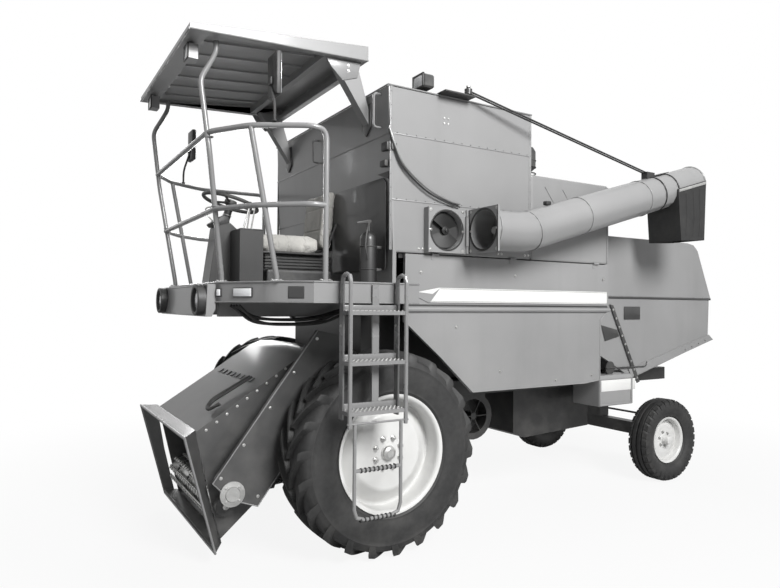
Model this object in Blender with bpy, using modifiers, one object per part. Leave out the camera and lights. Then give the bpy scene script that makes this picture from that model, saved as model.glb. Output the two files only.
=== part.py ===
"""Self-propelled combine harvester without its header, in metres: +X forward, +Y to the left, +Z up.

Every size below is given from the point on the ground under the middle of the front axle.
The last step moves the finished machine so that the origin is the middle of its footprint.
"""

import math

import bmesh
import bpy
from mathutils import Matrix, Vector

# Clearances
GAP = 0.0003
RUNNING_GAP = 0.006
PIN_GAP = 0.0004
WELD = 0.00001

# Wheels
WHEELBASE = 3.37
FRONT_TRACK = 2.06
FRONT_TYRE_RADIUS = 0.70
FRONT_TYRE_WIDTH = 0.378
FRONT_RIM_RADIUS = 0.385
FRONT_RIM_FLANGE = 0.408
FRONT_RIM_HALF = 0.178
FRONT_DISC_OFFSET = 0.107
LUG_HEIGHT = 0.036
LUG_COUNT = 22
LUG_SWEEP = math.radians(21)
LUG_ANGLE = math.radians(5.2)
LUG_NOSE = 0.008
LUG_DROP = 0.012
REAR_TRACK = 1.68
REAR_TYRE_RADIUS = 0.40
REAR_TYRE_WIDTH = 0.215
REAR_RIM_RADIUS = 0.205
REAR_RIM_FLANGE = 0.225
REAR_RIM_HALF = 0.072
RIM_LIP = 0.010
STUB_RADIUS = 0.045
SPINDLE_RADIUS = 0.028
KINGPIN_Y = 0.60
KINGPIN_RADIUS = 0.020
KINGPIN_BOSS = 0.050
STEER_ARM = 0.18
TIE_PIN_RADIUS = 0.010

# Body
SEPARATOR_HALF = 0.64
SEPARATOR_BOTTOM = 0.98
SEPARATOR_FRONT = -0.05
DECK_TOP = 2.083
DECK_THICK = 0.035
BODY_HALF = 1.08
PANEL_THICK = 0.03
TANK_TOP = 3.265
TANK_FRONT_TOP = -0.015
TANK_FRONT_BOTTOM = -0.06
TANK_REAR = -1.37
TANK_WALL = 0.03
HOUSING_REAR = -2.29
HOUSING_TOP = 2.78
RAIL_HALF = 0.74
RAIL_BOTTOM = 0.98
RAIL_DEPTH = 0.12
RAIL_REAR = -3.55
CHASSIS_RAIL_FRONT = 0.12
SEPARATOR_TAIL = ((-2.95, DECK_TOP - DECK_THICK + 0.01), (-3.12, 1.55), (-2.75, SEPARATOR_BOTTOM + 0.05),
                  (-2.60, SEPARATOR_BOTTOM))
HOPPER_TOP = 2.76
HOPPER_FLOOR_HALF = 0.25
HOPPER_FLOOR_RISE = 0.06
MOUTH_LEDGE = 0.08
ENGINE_HALF = 0.50
ENGINE_Y = -0.05
ENGINE_HEIGHT = 0.60
AIR_CLEANER = (-1.80, 0.55)
EXHAUST = (-1.95, -0.62)
EXHAUST_RADIUS = 0.04

# Rear hood
HOOD_HALF = 0.95
HOOD_FRONT = HOUSING_REAR - GAP
HOOD_TOP = 2.36
HOOD_SEAM = 1.80
HOOD_WALL = 0.03
HOOD_LIP = -4.04
HOOD_LIP_HEIGHT = 1.381
HOOD_TAIL = -4.01
SKIRT_TOE = (-2.779, 1.045)
SKIRT_FRONT_LOW = 1.30

# Side shields
SHIELD_FRONT = -0.167
SHIELD_REAR = -2.29
SHIELD_BOTTOM = 1.053
SHIELD_SLOPE = ((SHIELD_FRONT, 1.592), (-0.474, 1.333), (-0.777, SHIELD_BOTTOM))
SHIELD_HEEL = ((-2.0, SHIELD_BOTTOM), (-2.19, SHIELD_BOTTOM + 0.02), (-2.19, 1.60), (SHIELD_REAR, 1.68))
BAND_LOW = 1.73
BAND_HIGH = 1.844
BAND_PROUD = 0.006
SHIELD_GRAB = 1.682
SHIELD_GRAB_RADIUS = 0.018
SHIELD_HINGE_RADIUS = 0.009
SHIELD_HINGE_Y = BODY_HALF + SHIELD_HINGE_RADIUS + 0.0005
SHIELD_PIN_RADIUS = 0.004
SHIELD_HINGES = (-0.45, -1.20, -2.15)
SHIELD_LEAF = 0.06

# Platform
PLATFORM_TOP = 1.857
PLATFORM_DEPTH = 0.139
PLATFORM_FRONT = 1.07
PLATFORM_HALF = 1.33
PLATFORM_FLOOR = 0.025
PLATFORM_REAR = -0.12
PLATFORM_PLAN = ((PLATFORM_FRONT, 0.70), (PLATFORM_FRONT - 0.03, 0.737), (0.86, 1.05), (0.82, 1.18),
                 (0.65, PLATFORM_HALF), (PLATFORM_REAR, PLATFORM_HALF))
PLATFORM_BEAM = (0.40, 0.46)
PLATFORM_BEAM_LOW = 1.62
BUMPER_TOP = PLATFORM_TOP - 0.015
BUMPER_BOTTOM = PLATFORM_TOP - 0.232
BUMPER_HALF = 0.69
BUMPER_REACH = 0.055

# Battery box and sieves
BATTERY_BOTTOM = 0.83
BATTERY_SPAN = (-2.66, -2.22)
SIEVE_HALF = 0.60
SIEVE_UNDERSIDE = ((-1.62, 0.58), (-1.75, 0.53), (-2.57, 0.57))

# Cleaning fan
FAN_AXIS = (-1.17, 0.77)
FAN_HALF = 0.60
FAN_RADIUS = 0.20
FAN_INTAKE = 0.145
FAN_INTAKE_DEPTH = 0.12
GUARD_WIRE = 0.006
GUARD_SPOKES = 6

# Driver's place
SEAT_PAN = 2.12
SEAT_REAR = 0.03
SEAT_HALF = 0.26
SEAT_POD_HALF = 0.36
SEAT_POD_TOP = 1.98
WHEEL_CENTRE = (0.77, 2.50)
WHEEL_TILT = math.radians(15)
WHEEL_RADIUS = 0.21
WHEEL_GRIP = 0.014
PEDESTAL_HALF = 0.10

# Guard rails and canopy
TUBE_RADIUS = 0.0175
TOP_RAIL = 2.815
MID_RAIL = PLATFORM_TOP + 0.4937 * (TOP_RAIL - PLATFORM_TOP)
POST_TOP_Y = 0.781
TOP_RAIL_PLAN = ((1.165, 0.80), (0.98, 1.10), (0.66, 1.30))
MID_RAIL_PLAN = ((1.10, 0.753), (0.92, 1.07), (0.66, 1.30))
RIGHT_RAIL_REAR = 0.03
POST_MID_Y = 0.734
CANOPY_FRONT = 1.30
CANOPY_REAR = 0.02
CANOPY_HALF = 0.85
CANOPY_FRONT_LOW = TOP_RAIL + 0.62
CANOPY_FRONT_HIGH = CANOPY_FRONT_LOW + 0.04
CANOPY_REAR_LOW = CANOPY_FRONT_LOW + 0.055
CANOPY_REAR_HIGH = CANOPY_REAR_LOW + 0.11
CANOPY_WALL = 0.03
CANOPY_RIBS = (-0.62, -0.37, -0.12, 0.13, 0.38, 0.63)
CANOPY_LAMP_Y = 0.62
LAMP_BEZEL_RADIUS = 0.10
LAMP_BEZEL_RIM = 0.018
LAMP_BEZEL_DEPTH = 0.055
LAMP_DISH = 0.030
LAMP_BEZEL_Y = 0.585
LAMP_DROP = 0.122
LAMP_HEIGHT = PLATFORM_TOP - LAMP_DROP
STRUT_FOOT = 0.125
STRUT_HEEL = 0.11
STRUT_FALL = 0.22

# Feeder house, which swings about its upper shaft
FEEDER_SHAFT = (0.25, 1.12)
FEEDER_SLOPE = math.radians(32.7)
FEEDER_RADIUS = 0.274
FEEDER_LENGTH = 0.917
FEEDER_FOOT = (0.995, 0.12)
FEEDER_HALF = 0.60
FEEDER_WALL = 0.02
MOUTH_HALF = 0.77
MOUTH_TOP = (1.28, 0.86)
MOUTH_FOOT = (1.075, 0.09)
MOUTH_LAP = 0.02
MOUTH_WALL = 0.03
TRUNNION_RADIUS = 0.035
CHEEK_RADIUS = 0.11
LIFT_PIN_FRAME = (0.0, 0.46)
LIFT_PIN_FEEDER = (0.60, 0.405)
LIFT_Y = 0.45
LIFT_PIN_RADIUS = 0.014
LIFT_EYE_DRIFT = 0.0065
DRUM_AXIS = (0.975, 0.352)
DRUM_RADIUS = 0.085
DRUM_SHAFT_RADIUS = 0.022
DRUM_BEARING = 0.068
DRUM_RINGS = (-0.30, 0.0, 0.30)
DRUM_RING_HALF = 0.012
DRUM_RING_HEIGHT = 0.016
DRIVE_COVER_Y = 0.75
DRIVE_COVER_THICK = 0.04

# Unloading auger, which swings about an upright hinge beside the tank
HINGE_X = -0.67
HINGE_Y = BODY_HALF + 0.065
OUTLET_SIZE = 0.325
OUTLET_BOTTOM = 2.095
AUGER_RADIUS = 0.150
AUGER_BORE = 0.140
FLIGHT_RADIUS = 0.122
SHAFT_RADIUS = 0.028
AUGER_HEIGHT = 2.26
AUGER_END = (-3.10, 2.8506)
AUGER_ELBOW_X = -1.04
HINGE_PIN_RADIUS = 0.010
HINGE_BARREL_RADIUS = 0.018
FLANGE_CLEAR = 0.02
FLANGE_THICK = 0.015
OUTLET_GAP = 0.006
OUTLET_LUG = 0.014
OUTLET_LUG_HEIGHT = 0.05
BOOT_WALL = 0.012
BOOT_FRONT = -2.69
BOOT_REAR = -3.09
BOOT_BOTTOM = 2.29
CLAMP_X = -2.50
STAY_RADIUS = 0.007
STAY_PIN_RADIUS = 0.010

# Ladder
LADDER_INNER = 1.3303
LADDER_OUTER = 1.47
LADDER_FRONT = 0.47
LADDER_REAR = 0.07
TREADS = (1.66, 1.35, 1.045)
STEP_HINGE = (LADDER_OUTER, 0.985)
STEP_PIN_RADIUS = 0.007
STIRRUP_BOTTOM = 0.40
TREAD_BACK = LADDER_INNER + 0.02
LADDER_STRIP = (0.20, 0.25)
STRIP_BACK = LADDER_INNER + 0.004
STRIP_TOP = 1.84
STRIP_FOOT = 0.02

# Overhangs from the front axle, which set the origin
FRONT_REACH = CANOPY_FRONT
REAR_REACH = HOOD_LIP
LEFT_REACH = HINGE_Y + FLANGE_CLEAR + OUTLET_SIZE
RIGHT_REACH = -PLATFORM_HALF
ORIGIN_SHIFT = Vector((-(FRONT_REACH + REAR_REACH) / 2, -(LEFT_REACH + RIGHT_REACH) / 2, 0))

SIDES = (("left", 1), ("right", -1))
LAYOUT = {"x": ((0, 1, 0), (0, 0, 1), (1, 0, 0)), "y": ((1, 0, 0), (0, 0, 1), (0, 1, 0)),
          "z": ((1, 0, 0), (0, 1, 0), (0, 0, 1))}


def clear_scene():
    for obj in list(bpy.data.objects):
        bpy.data.objects.remove(obj, do_unlink=True)


def collection(name):
    made = bpy.data.collections.new(name)
    bpy.context.scene.collection.children.link(made)
    return made


def material(name, colour, roughness, metallic):
    made = bpy.data.materials.get(name)
    if made is None:
        made = bpy.data.materials.new(name)
        made.use_nodes = True
        shader = made.node_tree.nodes["Principled BSDF"]
        shader.inputs["Base Color"].default_value = (*colour, 1)
        shader.inputs["Roughness"].default_value = roughness
        shader.inputs["Metallic"].default_value = metallic
        made.diffuse_color = (*colour, 1)
    return made


def body_paint():
    return material("body_paint", (0.30, 0.30, 0.30), 0.38, 0.0)


def dark_paint():
    return material("dark_paint", (0.05, 0.05, 0.05), 0.5, 0.0)


def rim_paint():
    return material("rim_paint", (0.82, 0.82, 0.81), 0.4, 0.0)


def tyre_rubber():
    return material("tyre_rubber", (0.022, 0.022, 0.022), 0.8, 0.0)


def worn_steel():
    return material("worn_steel", (0.45, 0.45, 0.45), 0.4, 0.9)


def rail_paint():
    return material("rail_paint", (0.42, 0.42, 0.42), 0.35, 0.0)


def seat_cloth():
    return material("seat_cloth", (0.62, 0.61, 0.58), 0.85, 0.0)


def black_plastic():
    return material("black_plastic", (0.03, 0.03, 0.03), 0.55, 0.0)


def from_bmesh(name, bm):
    """An object holding this shape, its doubles merged and its faces turned outwards."""
    bmesh.ops.remove_doubles(bm, verts=bm.verts, dist=WELD)
    bmesh.ops.dissolve_degenerate(bm, edges=bm.edges, dist=WELD)
    bmesh.ops.recalc_face_normals(bm, faces=bm.faces)
    mesh = bpy.data.meshes.new(name)
    bm.to_mesh(mesh)
    bm.free()
    obj = bpy.data.objects.new(name, mesh)
    bpy.context.scene.collection.objects.link(obj)
    return obj


def as_mesh(obj, matrix=None):
    """The evaluated object as a welded mesh object, moved by matrix."""
    bpy.context.view_layer.update()
    evaluated = obj.evaluated_get(bpy.context.evaluated_depsgraph_get())
    mesh = bpy.data.meshes.new_from_object(evaluated)
    bm = bmesh.new()
    bm.from_mesh(mesh)
    bmesh.ops.transform(bm, matrix=matrix or obj.matrix_world, verts=bm.verts)
    name = obj.name
    bpy.data.objects.remove(obj, do_unlink=True)
    bpy.data.meshes.remove(mesh)
    return from_bmesh(name, bm)


def box(low, high):
    """A block from its lowest corner to its highest."""
    low, high = Vector(low), Vector(high)
    bm = bmesh.new()
    bmesh.ops.create_cube(bm, size=1)
    bmesh.ops.scale(bm, vec=high - low, verts=bm.verts)
    bmesh.ops.translate(bm, vec=(low + high) / 2, verts=bm.verts)
    return from_bmesh("box", bm)


def mirrored_boxes(low, high):
    """The block and its twin on the machine's other side."""
    return [box(low, high), box((low[0], -high[1], low[2]), (high[0], -low[1], high[2]))]


def prism(outline, along, low, high):
    """A flat outline given thickness along one axis; its points are the other two axes in order."""
    curve = bpy.data.curves.new("prism", "CURVE")
    curve.dimensions = "2D"
    curve.fill_mode = "BOTH"
    curve.extrude = (high - low) / 2
    spline = curve.splines.new("POLY")
    spline.points.add(len(outline) - 1)
    for point, (u, v) in zip(spline.points, outline):
        point.co = (u, v, 0, 1)
    spline.use_cyclic_u = True
    obj = bpy.data.objects.new("prism", curve)
    bpy.context.scene.collection.objects.link(obj)
    across, up, out = (Vector(axis) for axis in LAYOUT[along])
    matrix = Matrix((across, up, out)).transposed().to_4x4()
    return as_mesh(obj, Matrix.Translation(out * (low + high) / 2) @ matrix)


def rod(start, end, radius, sides=16):
    """A round bar between two points."""
    start, end = Vector(start), Vector(end)
    bm = bmesh.new()
    turn = (end - start).to_track_quat("Z", "Y").to_matrix().to_4x4()
    bmesh.ops.create_cone(bm, cap_ends=True, segments=sides, radius1=radius, radius2=radius,
                          depth=(end - start).length,
                          matrix=Matrix.Translation((start + end) / 2) @ turn)
    return from_bmesh("rod", bm)


def bent(points, bend, steps=2):
    """The points with each inner corner turned into an arc of about this radius."""
    points = [Vector(point) for point in points]
    smooth = [points[0]]
    for before, corner, after in zip(points, points[1:], points[2:]):
        inward = (before - corner).normalized()
        outward = (after - corner).normalized()
        reach = min(bend, (before - corner).length * 0.45, (after - corner).length * 0.45)
        first, last = corner + inward * reach, corner + outward * reach
        for step in range(steps + 1):
            share = step / steps
            smooth.append(first.lerp(corner, share).lerp(corner.lerp(last, share), share))
    return smooth + [points[-1]]


def tube(points, radius, resolution=2):
    """A round bar that follows the points, with flat ends."""
    curve = bpy.data.curves.new("tube", "CURVE")
    curve.dimensions = "3D"
    curve.bevel_depth = radius
    curve.bevel_resolution = resolution
    curve.use_fill_caps = True
    spline = curve.splines.new("POLY")
    spline.points.add(len(points) - 1)
    for point, place in zip(spline.points, points):
        point.co = (*place, 1)
    obj = bpy.data.objects.new("tube", curve)
    bpy.context.scene.collection.objects.link(obj)
    return as_mesh(obj)


def turned(profile, centre, side=1, steps=32):
    """A closed profile of (radius, offset) turned about a Y axis; side -1 mirrors the offsets."""
    bm = bmesh.new()
    corners = [bm.verts.new((radius, 0, offset)) for radius, offset in profile]
    for one, other in zip(corners, corners[1:] + corners[:1]):
        if profile[corners.index(one)][0] + profile[corners.index(other)][0] > WELD:
            bm.edges.new((one, other))
    mesh = bpy.data.meshes.new("turned")
    bm.to_mesh(mesh)
    bm.free()
    obj = bpy.data.objects.new("turned", mesh)
    bpy.context.scene.collection.objects.link(obj)
    screw = obj.modifiers.new("turn", "SCREW")
    screw.steps = steps
    screw.render_steps = steps
    screw.use_merge_vertices = True
    screw.merge_threshold = WELD
    upright = Matrix(((1, 0, 0), (0, 0, side), (0, 1, 0))).to_4x4()
    return as_mesh(obj, Matrix.Translation(Vector(centre)) @ upright)


def combine(base, others, operation, solver="EXACT"):
    """The Boolean of the base with each of the others, which are used up."""
    for other in others:
        modifier = base.modifiers.new(operation.lower(), "BOOLEAN")
        modifier.operation = operation
        modifier.object = other
        modifier.solver = solver
    result = as_mesh(base)
    for other in others:
        bpy.data.objects.remove(other, do_unlink=True)
    return result


def fuse(pieces):
    return combine(pieces[0], pieces[1:], "UNION") if len(pieces) > 1 else pieces[0]


def cut(base, cutters):
    return combine(base, cutters, "DIFFERENCE")


def bevelled(obj, width, segments=2, limit=math.radians(50)):
    modifier = obj.modifiers.new("bevel", "BEVEL")
    modifier.width = width
    modifier.segments = segments
    modifier.limit_method = "ANGLE"
    modifier.angle_limit = limit
    return as_mesh(obj)


def joint_empty(name, place):
    """An empty on a joint's axis, which carries the pieces that move with it."""
    empty = bpy.data.objects.new(name, None)
    empty.location = place
    empty.empty_display_size = 0.1
    bpy.context.scene.collection.objects.link(empty)
    return empty


def finish(obj, name, paint, parts, carrier=None, smooth=True):
    """Names the piece, gives it its material and hangs it on its carrier."""
    obj.name = name
    obj.data.name = name
    obj.data.materials.clear()
    obj.data.materials.append(paint)
    if smooth:
        obj.data.shade_smooth()
        obj.data.set_sharp_from_angle(angle=math.radians(35))
    for group in list(obj.users_collection):
        group.objects.unlink(obj)
    parts.objects.link(obj)
    if carrier is not None:
        bpy.context.view_layer.update()
        obj.parent = carrier
        obj.matrix_parent_inverse = carrier.matrix_world.inverted()
    return obj


def bore_radius(pin, sides=16, gap=PIN_GAP):
    """The radius of a faceted bore whose flats clear a pin of this radius."""
    return (pin + gap) / math.cos(math.pi / sides)


def front_tyre(side):
    """Carcass spun from its section, its tread columns swept back and every second one raised as a lug."""
    half = FRONT_TYRE_WIDTH / 2
    tread = FRONT_TYRE_RADIUS - LUG_HEIGHT
    seat = FRONT_RIM_HALF - RIM_LIP - GAP
    steps = 2 * LUG_COUNT
    widest_column = math.tau / LUG_COUNT - LUG_ANGLE
    bead = (FRONT_RIM_RADIUS + GAP) / math.cos(widest_column / 2)
    outer = [(bead, seat), (FRONT_RIM_FLANGE + 0.004, seat), (0.52, half), (0.61, half - 0.006),
             (tread - 0.020, half - 0.012), (tread, half * 0.5), (tread, LUG_NOSE)]
    section = outer + [(radius, -offset) for radius, offset in reversed(outer)]
    bm = bmesh.new()
    corners = [bm.verts.new((radius, offset, 0)) for radius, offset in section]
    edges = [bm.edges.new(pair) for pair in zip(corners, corners[1:] + corners[:1])]
    bmesh.ops.spin(bm, geom=corners + edges, axis=(0, -1, 0), cent=(0, 0, 0), steps=steps,
                   angle=math.tau, use_merge=True)
    column_of = {}
    for vert in bm.verts:
        radius = math.hypot(vert.co.x, vert.co.z)
        column = round(math.atan2(vert.co.z, vert.co.x) * steps / math.tau) % steps
        column_of[vert] = column
        place_on_tread(vert, radius, lug_turn(column, vert.co.y))
    lugs = [face for face in bm.faces if is_lug(face, column_of, tread)]
    raised = bmesh.ops.extrude_face_region(bm, geom=lugs)["geom"]
    bmesh.ops.delete(bm, geom=lugs, context="FACES")
    for vert in raised:
        if isinstance(vert, bmesh.types.BMVert):
            drop = LUG_DROP * (abs(vert.co.y) / half) ** 4
            place_on_tread(vert, FRONT_TYRE_RADIUS - drop, math.atan2(vert.co.z, vert.co.x))
    centre = Vector((0, side * FRONT_TRACK / 2, FRONT_TYRE_RADIUS))
    bmesh.ops.transform(bm, matrix=Matrix.Translation(centre), verts=bm.verts)
    return from_bmesh("tyre", bm)


def place_on_tread(vert, radius, turn):
    vert.co.x = radius * math.cos(turn)
    vert.co.z = radius * math.sin(turn)


def lug_turn(column, offset):
    """The angle of a tread column: lug and gap in turn, swept back outwards, staggered side to side."""
    pitch = math.tau / LUG_COUNT
    turn = pitch * (column // 2) + (LUG_ANGLE if column % 2 else 0)
    stagger = pitch / 2 if offset < 0 else 0
    return turn + stagger + LUG_SWEEP * min(abs(offset) / (FRONT_TYRE_WIDTH / 2), 1)


def is_lug(face, column_of, tread):
    """Whether the face is a tread face between an even column and the next odd one, on one side."""
    if any(math.hypot(vert.co.x, vert.co.z) < tread - 0.021 for vert in face.verts):
        return False
    columns = {column_of[vert] for vert in face.verts}
    offsets = [vert.co.y for vert in face.verts]
    return len(columns) == 2 and min(columns) % 2 == 0 and max(columns) == min(columns) + 1 and (
        min(offsets) > 0 or max(offsets) < 0)


def front_rim(side):
    """Barrel, dished disc and hub, turned in one, with a blind bore for the axle stub."""
    centre = (0, side * FRONT_TRACK / 2, FRONT_TYRE_RADIUS)
    bore = bore_radius(STUB_RADIUS, 24)
    disc = FRONT_DISC_OFFSET
    profile = [(FRONT_RIM_FLANGE, FRONT_RIM_HALF), (FRONT_RIM_FLANGE, FRONT_RIM_HALF - RIM_LIP),
               (FRONT_RIM_RADIUS, FRONT_RIM_HALF - RIM_LIP), (FRONT_RIM_RADIUS, -FRONT_RIM_HALF + RIM_LIP),
               (FRONT_RIM_FLANGE, -FRONT_RIM_HALF + RIM_LIP), (FRONT_RIM_FLANGE, -FRONT_RIM_HALF),
               (FRONT_RIM_RADIUS - 0.012, -FRONT_RIM_HALF + 0.004), (FRONT_RIM_RADIUS - 0.014, 0.010),
               (0.262, disc - 0.016), (0.10, disc - 0.012), (0.10, -0.160), (bore, -0.160),
               (bore, disc - 0.03), (0, disc - 0.03), (0, disc + 0.014), (0.055, disc + 0.014),
               (0.062, disc), (0.250, disc), (0.268, disc - 0.006), (FRONT_RIM_RADIUS - 0.024, 0.022),
               (FRONT_RIM_RADIUS - 0.012, 0.030), (FRONT_RIM_RADIUS - 0.008, FRONT_RIM_HALF - 0.014)]
    return turned(profile, centre, side, steps=24)


def rear_tyre(side):
    centre = (-WHEELBASE, side * REAR_TRACK / 2, REAR_TYRE_RADIUS)
    half = REAR_TYRE_WIDTH / 2
    steps = 24
    seat = REAR_RIM_HALF - RIM_LIP - GAP
    outer = [(bore_radius(REAR_RIM_RADIUS, steps, GAP), seat), (REAR_RIM_FLANGE + 0.003, seat), (0.30, half),
             (0.355, half - 0.008), (0.388, half - 0.026), (REAR_TYRE_RADIUS, 0.045)]
    return turned(outer + [(radius, -offset) for radius, offset in reversed(outer)], centre, 1, steps)


def rear_rim(side):
    centre = (-WHEELBASE, side * REAR_TRACK / 2, REAR_TYRE_RADIUS)
    bore = bore_radius(SPINDLE_RADIUS, 20)
    profile = [(REAR_RIM_FLANGE, REAR_RIM_HALF), (REAR_RIM_FLANGE, REAR_RIM_HALF - RIM_LIP),
               (REAR_RIM_RADIUS, REAR_RIM_HALF - RIM_LIP), (REAR_RIM_RADIUS, -REAR_RIM_HALF + RIM_LIP),
               (REAR_RIM_FLANGE, -REAR_RIM_HALF + RIM_LIP), (REAR_RIM_FLANGE, -REAR_RIM_HALF),
               (REAR_RIM_RADIUS - 0.008, -REAR_RIM_HALF + 0.003), (REAR_RIM_RADIUS - 0.010, -0.012),
               (0.14, 0.010), (0.070, 0.004), (0.060, -0.070), (bore, -0.070), (bore, 0.060), (0, 0.060),
               (0, 0.092), (0.040, 0.090), (0.046, 0.030), (0.075, 0.014), (0.14, 0.020),
               (REAR_RIM_RADIUS - 0.008, 0.002), (REAR_RIM_RADIUS - 0.006, REAR_RIM_HALF - 0.004)]
    return turned(profile, centre, side, steps=20)


def separator_body():
    """The threshing and straw-walker housing with its deck, frame rails and feeder cheeks."""
    top = DECK_TOP - DECK_THICK
    step = PLATFORM_REAR - 0.01
    outline = [(SEPARATOR_FRONT, SEPARATOR_BOTTOM), (SEPARATOR_FRONT, PLATFORM_TOP - PLATFORM_DEPTH - 0.01),
               (step, PLATFORM_TOP - PLATFORM_DEPTH - 0.01), (step, top + 0.01), *SEPARATOR_TAIL]
    pieces = [prism(outline, "y", -SEPARATOR_HALF, SEPARATOR_HALF)]
    deck_half = BODY_HALF - PANEL_THICK - RUNNING_GAP
    pieces.append(box((HOUSING_REAR, -deck_half, top), (step, deck_half, DECK_TOP - GAP)))
    pieces += mirrored_boxes((RAIL_REAR, SEPARATOR_HALF - 0.02, RAIL_BOTTOM),
                             (CHASSIS_RAIL_FRONT, RAIL_HALF, RAIL_BOTTOM + RAIL_DEPTH))
    cross_front = -WHEELBASE + 0.07
    cross_rear = -WHEELBASE - 0.07
    pieces.append(box((cross_rear, -RAIL_HALF + 0.01, RAIL_BOTTOM),
                      (cross_front, RAIL_HALF - 0.01, RAIL_BOTTOM + 0.10)))
    pieces.append(box((cross_rear, -0.12, rear_beam_top() + GAP), (cross_front, 0.12, RAIL_BOTTOM + 0.01)))
    x, z = FEEDER_SHAFT
    for _, side in SIDES:
        inner = side * (FEEDER_HALF + RUNNING_GAP)
        outer = side * (SEPARATOR_HALF + 0.05)
        low, high = min(inner, outer), max(inner, outer)
        cheek = fuse([rod((x, low, z), (x, high, z), CHEEK_RADIUS, 24),
                      box((SEPARATOR_FRONT - 0.02, low, z - CHEEK_RADIUS),
                          (x, high, z + CHEEK_RADIUS))])
        bore = bore_radius(TRUNNION_RADIUS, 24)
        pieces.append(cut(cheek, [rod((x, low - 0.01, z), (x, high + 0.01, z), bore, 24)]))
    return fuse(pieces)


def rear_beam_top():
    return REAR_TYRE_RADIUS + 0.12


def grain_tank():
    """Open-topped bin: walls, hopper floor and the panel that runs down to the platform."""
    low = DECK_TOP
    outline = [(TANK_FRONT_BOTTOM, low), (TANK_FRONT_TOP, TANK_TOP), (TANK_REAR, TANK_TOP), (TANK_REAR, low)]
    shell = bevelled(prism(outline, "y", -BODY_HALF, BODY_HALF), 0.02)
    front = TANK_FRONT_BOTTOM - TANK_WALL - 0.02
    rear = TANK_REAR + TANK_WALL
    inner = BODY_HALF - TANK_WALL
    upper = box((rear, -inner, HOPPER_TOP - 0.01), (front, inner, TANK_TOP - TANK_WALL))
    mouth = box((rear + MOUTH_LEDGE, -inner + MOUTH_LEDGE, TANK_TOP - 0.1),
                (front - MOUTH_LEDGE, inner - MOUTH_LEDGE, TANK_TOP + 0.1))
    floor = low + HOPPER_FLOOR_RISE
    hopper = prism([(inner, HOPPER_TOP), (HOPPER_FLOOR_HALF, floor), (-HOPPER_FLOOR_HALF, floor),
                    (-inner, HOPPER_TOP)], "x", rear, front)
    shell = cut(shell, [fuse([upper, mouth, hopper])])
    apron = box((TANK_FRONT_BOTTOM - TANK_WALL, -BODY_HALF, PLATFORM_TOP + GAP),
                (TANK_FRONT_BOTTOM, BODY_HALF, low + 0.02))
    leaves = [shield_knuckle(x, side, 1) for x in SHIELD_HINGES[:2] for _, side in SIDES]
    return fuse([shell, apron] + leaves)


def engine_housing():
    outer = bevelled(box((HOUSING_REAR, -BODY_HALF, DECK_TOP), (TANK_REAR - GAP, BODY_HALF, HOUSING_TOP)), 0.02)
    inner = box((HOUSING_REAR + PANEL_THICK, -BODY_HALF + PANEL_THICK, DECK_TOP - 0.1),
                (TANK_REAR - PANEL_THICK, BODY_HALF - PANEL_THICK, HOUSING_TOP - PANEL_THICK))
    leaves = [shield_knuckle(SHIELD_HINGES[2], side, 1) for _, side in SIDES]
    return fuse([cut(outer, [inner])] + leaves)


def engine_block():
    return bevelled(box((HOUSING_REAR + 0.17, ENGINE_Y - ENGINE_HALF, DECK_TOP),
                        (TANK_REAR - 0.13, ENGINE_Y + ENGINE_HALF, DECK_TOP + ENGINE_HEIGHT)), 0.02, 1)


def air_cleaner():
    base = HOUSING_TOP + GAP
    profile = [(0.0, base), (0.05, base), (0.05, base + 0.16), (0.085, base + 0.19), (0.092, base + 0.22),
               (0.092, base + 0.34), (0.070, base + 0.38), (0.0, base + 0.40)]
    return upright(profile, *AIR_CLEANER)


def upright(profile, x, y, steps=20):
    """A profile of (radius, height) turned about an upright axis."""
    piece = turned([(radius, height) for radius, height in profile], (0, 0, 0), 1, steps)
    stand = Matrix.Translation((x, y, 0)) @ Matrix.Rotation(math.pi / 2, 4, "X")
    bm = bmesh.new()
    bm.from_mesh(piece.data)
    bpy.data.objects.remove(piece, do_unlink=True)
    bmesh.ops.transform(bm, matrix=stand, verts=bm.verts)
    return from_bmesh("upright", bm)


def exhaust_pipe():
    base = HOUSING_TOP + GAP
    x, y = EXHAUST
    stack = tube(bent([(x, y, base), (x, y, base + 0.36), (x - 0.11, y, base + 0.46)], 0.06), EXHAUST_RADIUS)
    flange = rod((x, y, base), (x, y, base + 0.012), EXHAUST_RADIUS + 0.03)
    return fuse([stack, flange])


def shield_outline():
    top = DECK_TOP - 0.005
    return [(SHIELD_FRONT, top), *SHIELD_SLOPE, *SHIELD_HEEL, (SHIELD_REAR, top)]


def shield_knuckle(x, side, way):
    """Half a hinge: a barrel on the shield's axis and the leaf that joins it to the wall, up or down."""
    y = side * SHIELD_HINGE_Y
    first = x if way > 0 else x + SHIELD_LEAF / 2 + 0.001
    last = first + SHIELD_LEAF / 2
    barrel = rod((first, y, DECK_TOP), (last, y, DECK_TOP), SHIELD_HINGE_RADIUS, 12)
    wall = sorted((side * (BODY_HALF - 0.006), side * (BODY_HALF + 0.003)))
    heights = (DECK_TOP + 0.001, DECK_TOP + 0.011) if way > 0 else (DECK_TOP - 0.04, DECK_TOP - 0.001)
    if way > 0:
        return fuse([barrel, box((first, wall[0], heights[0]), (last, wall[1], heights[1])),
                     rod((first + 0.01, y, DECK_TOP), (x + SHIELD_LEAF, y, DECK_TOP), SHIELD_PIN_RADIUS, 12)])
    leaf = fuse([barrel, box((first, wall[0], heights[0]), (last, wall[1], heights[1]))])
    bore = bore_radius(SHIELD_PIN_RADIUS, 12)
    return cut(leaf, [rod((first - 0.01, y, DECK_TOP), (last + 0.01, y, DECK_TOP), bore, 12)])


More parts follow.
